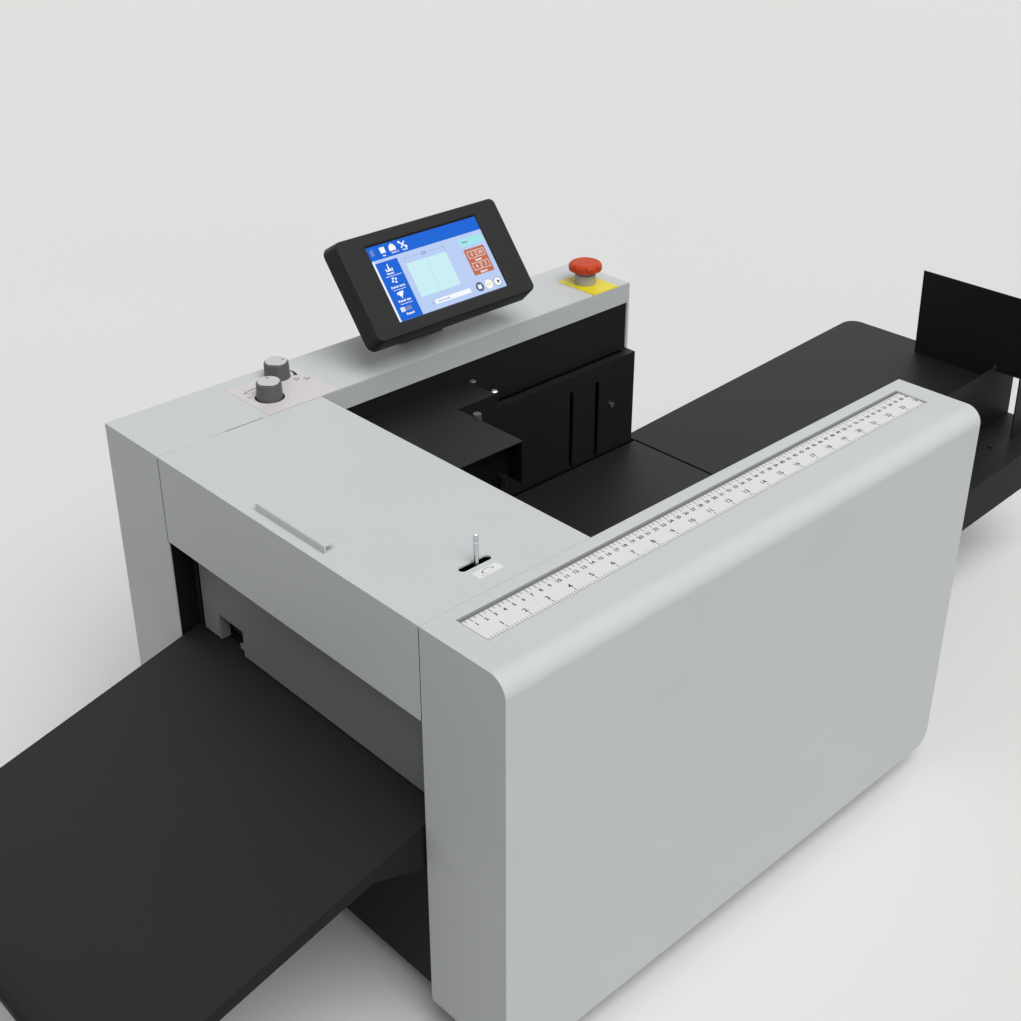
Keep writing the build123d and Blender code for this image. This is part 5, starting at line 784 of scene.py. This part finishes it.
def build_lever_label():
    """The printed label beside the lever's slot, which moves with the cover."""
    ink = bpy.context.scene.creaser_sizes.ink
    level = TOP + LABEL_THICKNESS
    label = plate(357.8, 368, 80, 107.5, TOP, level)
    edit(label, "EDGE", lambda one, other: abs(one.z - other.z) > mm(0.1))
    bpy.ops.mesh.bevel(offset=mm(2.0), segments=6)
    done(label)
    finish(label, "lever_label_printed", "label_film", "cover")
    marks = [put(arc(8.2, 131, 229, 0.45, 0.45, ink), 367.5, 94.3, level)]
    marks += [put(spot(0, 0, radius, 0, ink * 500), x, y, level) for x, y, radius in LABEL_DOTS]
    finish(join(marks), "lever_marks_printed", "ink", "cover")


def build_stop_button():
    """The stop button's plate, collar, stem and fluted head."""
    dress_all(STOP_BUTTON)


# ---------------------------------------------------------------- ruler
WINDOW_INSET = 5.0      # the scale is held under the window's rim by this much all round


def build_ruler():
    """The scale: centimetres from the inner edge, inches from the outer edge."""
    sizes = bpy.context.scene.creaser_sizes
    dress("ruler_scale", "ruler_white", "small_edge")
    ink = sizes.ink * 1000
    low, high = box_mm("ruler_scale")
    inner, outer = low.x + WINDOW_INSET, high.x - WINDOW_INSET
    start, end = low.y + WINDOW_INSET, high.y - WINDOW_INSET
    level = high.z
    centimetres = int((end - start) / 10)
    inches = int((end - start) / INCH)
    # Where the two rows of marks begin.
    border = inner + 1.9
    edge = outer - 2.6

    def tick(x0, x1, y, width):
        return plate(x0, x1, y - width / 2, y + width / 2, level, level + ink)

    # Centimetres and halves, then eighths of an inch and inches.
    marks = [
        row(tick(border, border + 5.2, start + 10, 0.6), centimetres, 10),
        row(tick(border, border + 3.2, start + 5, 0.5), centimetres + 1, 10),
        row(tick(edge - 2.4, edge, start + INCH / 8, 0.5), inches * 8, INCH / 8),
        row(tick(edge - 6.2, edge - 2.4, start + INCH, 0.6), inches, INCH),
    ]
    heavy = []
    for value in range(1, centimetres + 1):
        # Full decimetres are larger.
        height = sizes.centimetre_digit * (1.12 if value % 10 == 0 else 1.0)
        digits = number(str(value), height, sizes.ink, sizes.stroke)
        heavy.append(put(digits, inner + 11.6, start + 10 * value, level, (0, 0, 90)))
    for value in range(1, inches + 1):
        digits = number(str(value), sizes.inch_digit, sizes.ink, sizes.stroke)
        heavy.append(put(digits, inner + 23.6, start + INCH * value, level, (0, 0, 90)))
    finish(join(marks + heavy), "ruler_marks_printed", "ink", "machine")
    # Lines on the scale: a grey strip along its inner edge that is painted shade of the window's wall, and
    # the outer double line; then grey strips round the window on the casing's top, painted shade of its rim.
    lines = [plate(inner, border - 0.2, start, end, level, level + ink),
             plate(edge + 0.4, edge + 1.0, start, end, level, level + ink),
             plate(edge + 1.7, edge + 2.4, start, end, level, level + ink),
             plate(inner - 1.5, inner, start - 0.6, end, TOP, TOP + ink),
             plate(inner - 1.5, outer, start - 0.6, start, TOP, TOP + ink)]
    finish(join(lines), "ruler_borders_printed", "border_ink_and_shade", "machine")
    # A grey sheet on the window's inner wall: painted shade.
    wall_shade = plate(inner + 0.02, inner + 0.2, start + 0.1, end - 0.1, level, TOP - 0.35)
    finish(wall_shade, "window_lining_printed", "border_ink_and_shade", "machine")


# ---------------------------------------------------------------- touch panel
GLASS_HEIGHT = 85.9
GLASS_TILT = 38.5       # degrees from upright
LAYER = 0.05            # rise from one layer of the screen picture to the next
LAYER_START = 0.01
INK = 0.04              # thickness of each piece of the picture


def screen_matrix():
    """From the screen's own plane, about its middle, to the world."""
    low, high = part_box("display_glass")
    tilt = radians(GLASS_TILT)
    normal = Vector((cos(tilt), 0, sin(tilt)))
    up = Vector((-sin(tilt), 0, cos(tilt)))
    half = (high.z - low.z - mm(GLASS_HEIGHT) * cos(tilt)) / sin(tilt) / 2
    middle = (low + high) / 2 + normal * half
    turn = Matrix((Vector((0, 1, 0)), up, normal)).transposed().to_4x4()
    return Matrix.Translation(middle) @ turn


def on_screen(pieces, name, kind):
    """Join flat pieces, lay them on the screen and give them the screen's colour of that kind."""
    picture = join(pieces)
    picture.matrix_world = screen_matrix()
    settle(picture)
    return finish(picture, "screen_" + name + "_lit", "screen_" + kind, "panel")


def area(layer, u0, u1, v0, v1, turn=0):
    """A rectangle of the screen picture on one of its layers."""
    return flat(u0, u1, v0, v1, (layer - 1) * LAYER + LAYER_START, INK, turn)


def blob(layer, u, v, radius, sides=36, turn=0):
    """A disc, triangle or diamond of the screen picture."""
    return spot(u, v, radius, (layer - 1) * LAYER + LAYER_START, INK, sides, turn)


def digits_on(layer, text, height, u, v):
    """A number of the screen picture."""
    piece = number(text, mm(height), mm(INK))
    piece.location = (mm(u), mm(v), mm((layer - 0.5) * LAYER))
    return settle(piece)


def caption(layer, u0, u1, v0, v1):
    """A line of unreadable small print: a row of short strokes of changing width."""
    strokes = []
    tall = v1 - v0
    u = u0
    for index, share in enumerate(cycle((0.55, 0.3, 0.75, 0.45, 0.6, 0.25, 0.7))):
        width = tall * share
        if u + width > u1:
            return strokes
        strokes.append(area(layer, u, u + width, v0, v1 if index % 5 == 0 else v1 - tall * 0.25))
        u += width + tall * (0.6 if index % 6 == 5 else 0.22)


def outline(layer, u0, u1, v0, v1, width):
    """A hollow rectangle of the screen picture."""
    return [area(layer, u0, u1, v0, v0 + width), area(layer, u0, u1, v1 - width, v1),
            area(layer, u0, u0 + width, v0, v1), area(layer, u1 - width, u1, v0, v1)]


def build_screen():
    """A plain machine page: bars, sheet with its crease, counters and buttons."""
    on_screen([area(1, -77, 77, 27.3, 42.9), area(1, -74.5, -45.0, -42.9, 24.0)], "bars", "bar")
    white = [area(1, -77, -74.9, -42.9, 26.6), area(1, -23.1, 27.4, -37.3, -32.1)]
    # Page buttons along the top bar: a diamond, a case with its handle and two crossed tools.
    white += [blob(2, -58.0, 36.3, 4.7, 4, 45), area(2, -49.4, -40.6, 32.8, 37.6),
              area(2, -48.2, -41.8, 37.6, 39.4), area(2, -46.2, -43.6, 39.4, 40.6),
              area(2, -35.2, -25.6, 35.4, 36.9, 45), area(2, -35.2, -25.6, 35.4, 36.9, -45),
              blob(2, -27.0, 33.0, 1.7, 18), blob(2, -34.0, 39.6, 1.5, 18)]
    white += caption(2, -60.0, -55.8, 29.4, 31.2) + caption(2, -48.0, -38.0, 29.8, 31.6)
    white += caption(2, -33.0, -26.4, 29.6, 31.4)
    # Buttons of the side bar, each with its captions.
    white += [area(2, -61.3, -59.9, 14.6, 20.6), blob(2, -60.6, 14.6, 2.6, 3, -90),
              area(2, -65.2, -56.0, 12.3, 13.6), area(2, -65.2, -64.0, 12.3, 15.6),
              area(2, -57.2, -56.0, 12.3, 15.6)]
    white += [blob(2, -60.2 + 2.6 * cos(radians(turn)), 1.6 + 2.6 * sin(radians(turn)), 1.3, 18)
              for turn in (30, 120, 200, 300)]
    white += [blob(2, -60.4, -14.4, 3.0, 8), blob(2, -63.6, -13.4, 1.5, 12), blob(2, -57.4, -12.6, 1.5, 12),
              area(2, -61.0, -59.8, -19.4, -16.0)]
    white += [area(2, -69.2, -66.9, -33.6, -28.6), area(2, -66.4, -64.1, -33.6, -28.6)]
    for v0, v1, u0, u1 in ((8.8, 11.0, -65.4, -55.6), (-6.9, -4.5, -68.4, -49.6),
                           (-23.2, -20.7, -67.4, -49.4), (-38.2, -35.6, -64.4, -53.4)):
        white += caption(2, u0, u1, v0, v1)
    for v0, u0, u1 in ((6.4, -68.6, -48.0), (-9.6, -67.0, -50.0), (-26.0, -66.0, -50.0)):
        white += caption(2, u0, u1, v0, v0 + 1.0)
    # Counters: two fields in two rows, each pair with its caption.
    for u0 in (44.8, 57.4):
        for v0 in (-1.6, -15.6):
            white += outline(2, u0, u0 + 11.2, v0, v0 + 8.4, 0.5)
    white += caption(2, 52.0, 61.2, -5.6, -3.2) + caption(2, 51.6, 61.6, -20.0, -17.6)
    white += [digits_on(3, label, 4.2, u, v) for label, u, v in
              (("0", 50.4, 2.6), ("20", 63.0, 2.6), ("6", 50.4, -11.4), ("3", 63.0, -11.4))]
    # Three round buttons: stop, run on and start.
    white += [area(2, 38.9, 43.7, -36.8, -32.0), blob(2, 54.5, -34.8, 5.3), blob(2, 67.5, -34.8, 5.0)]
    on_screen(white, "white", "white")
    on_screen([area(1, 41.7, 71.0, -21.2, 9.8)], "counters", "counter")
    on_screen([area(1, 40.8, 74.6, 13.4, 22.6)], "status", "status")
    on_screen([area(1, -37.1, 18.8, -24.8, 14.6)], "sheet", "sheet")
    pale = [area(2, -9.3, -8.9, v, v + 2.0) for v in (-21.8 + 3.5 * dash for dash in range(10))]
    pale += [area(1, -35.2, -15.0, 20.4, 20.8), area(1, -4.6, 17.0, 20.4, 20.8),
             blob(1, -36.2, 20.6, 1.0, 3, 180), blob(1, 18.0, 20.6, 1.0, 3, 0),
             area(1, -37.1, -36.7, 15.4, 22.6), area(1, 18.4, 18.8, 15.4, 22.6)]
    pale += caption(2, -19.0, -2.0, -35.6, -33.8) + caption(1, -28.4, -24.4, -36.0, -34.4)
    on_screen(pale, "lines", "line")
    grey = [blob(1, 41.3, -34.4, 5.5), blob(1, 67.5, -34.8, 5.6),
            digits_on(1, "320", 3.6, -9.8, 20.4)]
    grey += caption(2, 44.4, 52.4, 17.4, 19.4)
    on_screen(grey, "grey", "grey")
    faint = [blob(2, -71.8, 37.6, 3.6, 3, 90), area(2, -74.0, -69.6, 32.6, 36.6),
             area(2, -64.0, -54.4, -33.4, -28.8)]
    on_screen(faint, "faint", "faint")
    on_screen([blob(3, 68.2, -34.8, 2.6, 3, -90)], "start", "dark")
    yellow = [blob(1, 54.5, -34.8, 5.7), blob(3, 53.0, -34.8, 2.0, 3, -90), blob(3, 56.2, -34.8, 2.0, 3, -90)]
    on_screen(yellow, "run_on", "yellow")


def build_panel():
    """The touch panel's housing, its stand and glass, and the small openings of its sensor."""
    dress_all(PANEL)
    rise = 2.21     # of the bezel's face over the glass
    slots = join([flat(100.6, 103.4, 2.7, 3.5, rise, 0.05), flat(99.1, 101.9, -0.4, 0.4, rise, 0.05)])
    slots.matrix_world = screen_matrix()
    settle(slots)
    finish(slots, "panel_sensor_openings", "ink", "panel")


# ---------------------------------------------------------------- stage
EYE = (1102.85, -578.81, 1094.22)       # the camera's place
EYE_DOWN = 28.28        # degrees below level
EYE_TURN = 46.66        # degrees from straight ahead
LENS = 50.42
SENSOR = 36
LENS_SHIFT = -0.047


def floor_finish():
    """Pale satin floor: bright to the eye, but returning less light, so that upright faces stay shaded."""
    made, tree, coords = material("studio_floor", Roughness=0.7)
    base = bpy.context.scene.creaser_colours.floor
    drift = add(tree, "TexNoise", {"Vector": (coords, "Object"), "Scale": 1.5, "Detail": 2.0})
    path = add(tree, "LightPath")
    seen = add(tree, "Mix", {"Factor": (drift, "Fac"), 6: shade(base, 0.99), 7: shade(base, 1.01)},
               data_type="RGBA")
    both = add(tree, "Mix", {"Factor": (path, "Is Camera Ray"), 6: shade(base, 0.60)}, data_type="RGBA")
    tree.links.new(seen.outputs[2], both.inputs[7])
    tree.links.new(both.outputs[2], tree.nodes["Principled BSDF"].inputs["Base Color"])
    return made


def build_stage():
    """Camera, floor, soft sun from the ruler's side and a white backdrop."""
    scene = bpy.context.scene
    rest()
    bpy.ops.object.camera_add(location=place(*EYE), rotation=(radians(90 - EYE_DOWN), 0, radians(EYE_TURN)))
    eye = bpy.context.object
    eye.name = "view"
    eye.data.lens = LENS
    eye.data.sensor_width = SENSOR
    eye.data.shift_y = LENS_SHIFT
    scene.camera = eye
    rest()
    bpy.ops.mesh.primitive_plane_add(size=scene.creaser_sizes.floor_width, location=(0, 0, 0))
    floor = bpy.context.object
    floor.name = "floor"
    floor.data.materials.append(floor_finish())
    world = bpy.data.worlds.new("studio")
    scene.world = world
    world.use_nodes = True
    tree = world.node_tree
    back = tree.nodes["Background"]
    back.inputs["Color"].default_value = (1.0, 1.0, 1.0, 1.0)
    path = add(tree, "LightPath")
    # Full strength where the backdrop is seen directly, mirrored or through glass, and less where it lights.
    mirror = add(tree, "Math", {0: (path, "Is Camera Ray"), 1: (path, "Is Glossy Ray")},
                 operation="MAXIMUM")
    plain = add(tree, "Math", {0: (mirror, "Value"), 1: (path, "Is Transmission Ray")},
                operation="MAXIMUM")
    power = add(tree, "MapRange", {"Value": (plain, "Value"), "To Min": 0.26, "To Max": 1.0})
    tree.links.new(power.outputs["Result"], back.inputs["Strength"])
    rest()
    bpy.ops.object.light_add(type="SUN", location=(2, -1, 3), rotation=(radians(5), radians(30), 0))
    sun = bpy.context.object
    sun.name = "soft_sun"
    sun.data.energy = 2.4
    sun.data.angle = radians(50)
    scene.view_settings.view_transform = "Standard"


# ---------------------------------------------------------------- operators and panel
class CREASER_OT_finishes(bpy.types.Operator):
    """Make every finish from the chosen colours"""

    bl_idname = "creaser.finishes"
    bl_label = "Finishes"

    def execute(self, context):
        paint = context.scene.creaser_colours
        painted_finishes(paint)
        plastic_finishes(paint)
        metal_finishes()
        screen_finishes(paint)
        return {"FINISHED"}


class CREASER_OT_cases(bpy.types.Operator):
    """Dress the tower, the ruler casing, the cover and its handle"""

    bl_idname = "creaser.cases"
    bl_label = "Cases and cover"

    def execute(self, context):
        build_cases()
        return {"FINISHED"}


class CREASER_OT_plates(bpy.types.Operator):
    """Dress the bed, the tray, the extension, the bridge's frame and every other painted plate"""

    bl_idname = "creaser.plates"
    bl_label = "Painted plates"

    def execute(self, context):
        dress_all(PLATES)
        return {"FINISHED"}


class CREASER_OT_works(bpy.types.Operator):
    """Dress the base, the rollers, the drive and the electrical parts"""

    bl_idname = "creaser.works"
    bl_label = "Works"

    def execute(self, context):
        build_works()
        return {"FINISHED"}


class CREASER_OT_pins(bpy.types.Operator):
    """Dress the pins, the screws and the release lever"""

    bl_idname = "creaser.pins"
    bl_label = "Pins and lever"

    def execute(self, context):
        build_pins()
        return {"FINISHED"}


class CREASER_OT_mains(bpy.types.Operator):
    """Dress the mains inlet and the rocker switch"""

    bl_idname = "creaser.mains"
    bl_label = "Mains inlet and switch"

    def execute(self, context):
        build_mains()
        return {"FINISHED"}


class CREASER_OT_controls(bpy.types.Operator):
    """Dress the overlay and the two knobs"""

    bl_idname = "creaser.controls"
    bl_label = "Knobs and overlay"

    def execute(self, context):
        build_controls()
        return {"FINISHED"}


class CREASER_OT_lever_label(bpy.types.Operator):
    """Print the label beside the lever"""

    bl_idname = "creaser.lever_label"
    bl_label = "Lever label"

    def execute(self, context):
        build_lever_label()
        return {"FINISHED"}


class CREASER_OT_stop_button(bpy.types.Operator):
    """Dress the stop button"""

    bl_idname = "creaser.stop_button"
    bl_label = "Stop button"

    def execute(self, context):
        build_stop_button()
        return {"FINISHED"}


class CREASER_OT_ruler(bpy.types.Operator):
    """Dress the scale and print its marks and numbers"""

    bl_idname = "creaser.ruler"
    bl_label = "Ruler"

    def execute(self, context):
        build_ruler()
        return {"FINISHED"}


class CREASER_OT_touch_panel(bpy.types.Operator):
    """Dress the touch panel's housing and stand"""

    bl_idname = "creaser.touch_panel"
    bl_label = "Touch panel"

    def execute(self, context):
        build_panel()
        return {"FINISHED"}


class CREASER_OT_screen(bpy.types.Operator):
    """Lay the lit picture over the screen"""

    bl_idname = "creaser.screen"
    bl_label = "Screen picture"

    def execute(self, context):
        build_screen()
        return {"FINISHED"}


class CREASER_OT_stage(bpy.types.Operator):
    """Set the camera, the floor, the light and the backdrop"""

    bl_idname = "creaser.stage"
    bl_label = "Stage"

    def execute(self, context):
        build_stage()
        return {"FINISHED"}


class CREASER_PT_sidebar(bpy.types.Panel):
    """Sizes, colours and steps of the creasing machine"""

    bl_idname = "CREASER_PT_sidebar"
    bl_label = "Creasing machine"
    bl_space_type = "VIEW_3D"
    bl_region_type = "UI"
    bl_category = "Creaser"

    def draw(self, context):
        column = self.layout.column(align=True)
        for group in (context.scene.creaser_sizes, context.scene.creaser_colours):
            for name in group.__annotations__:
                column.prop(group, name)
        for step in STEPS:
            column.operator(step.bl_idname)


STEPS = (
    CREASER_OT_finishes, CREASER_OT_cases, CREASER_OT_plates, CREASER_OT_works, CREASER_OT_pins,
    CREASER_OT_mains, CREASER_OT_controls, CREASER_OT_lever_label, CREASER_OT_stop_button,
    CREASER_OT_ruler, CREASER_OT_touch_panel, CREASER_OT_screen, CREASER_OT_stage,
)
CLASSES = (CreaserSizes, CreaserColours, *STEPS, CREASER_PT_sidebar)


def register():
    for made in CLASSES:
        bpy.utils.register_class(made)
    bpy.types.Scene.creaser_sizes = bpy.props.PointerProperty(type=CreaserSizes)
    bpy.types.Scene.creaser_colours = bpy.props.PointerProperty(type=CreaserColours)


def unregister():
    del bpy.types.Scene.creaser_colours
    del bpy.types.Scene.creaser_sizes
    for made in reversed(CLASSES):
        bpy.utils.unregister_class(made)


def main():
    """Build every piece in order."""
    register()
    for step in STEPS:
        family, name = step.bl_idname.split(".")
        getattr(getattr(bpy.ops, family), name)()


if __name__ == "__main__":
    main()
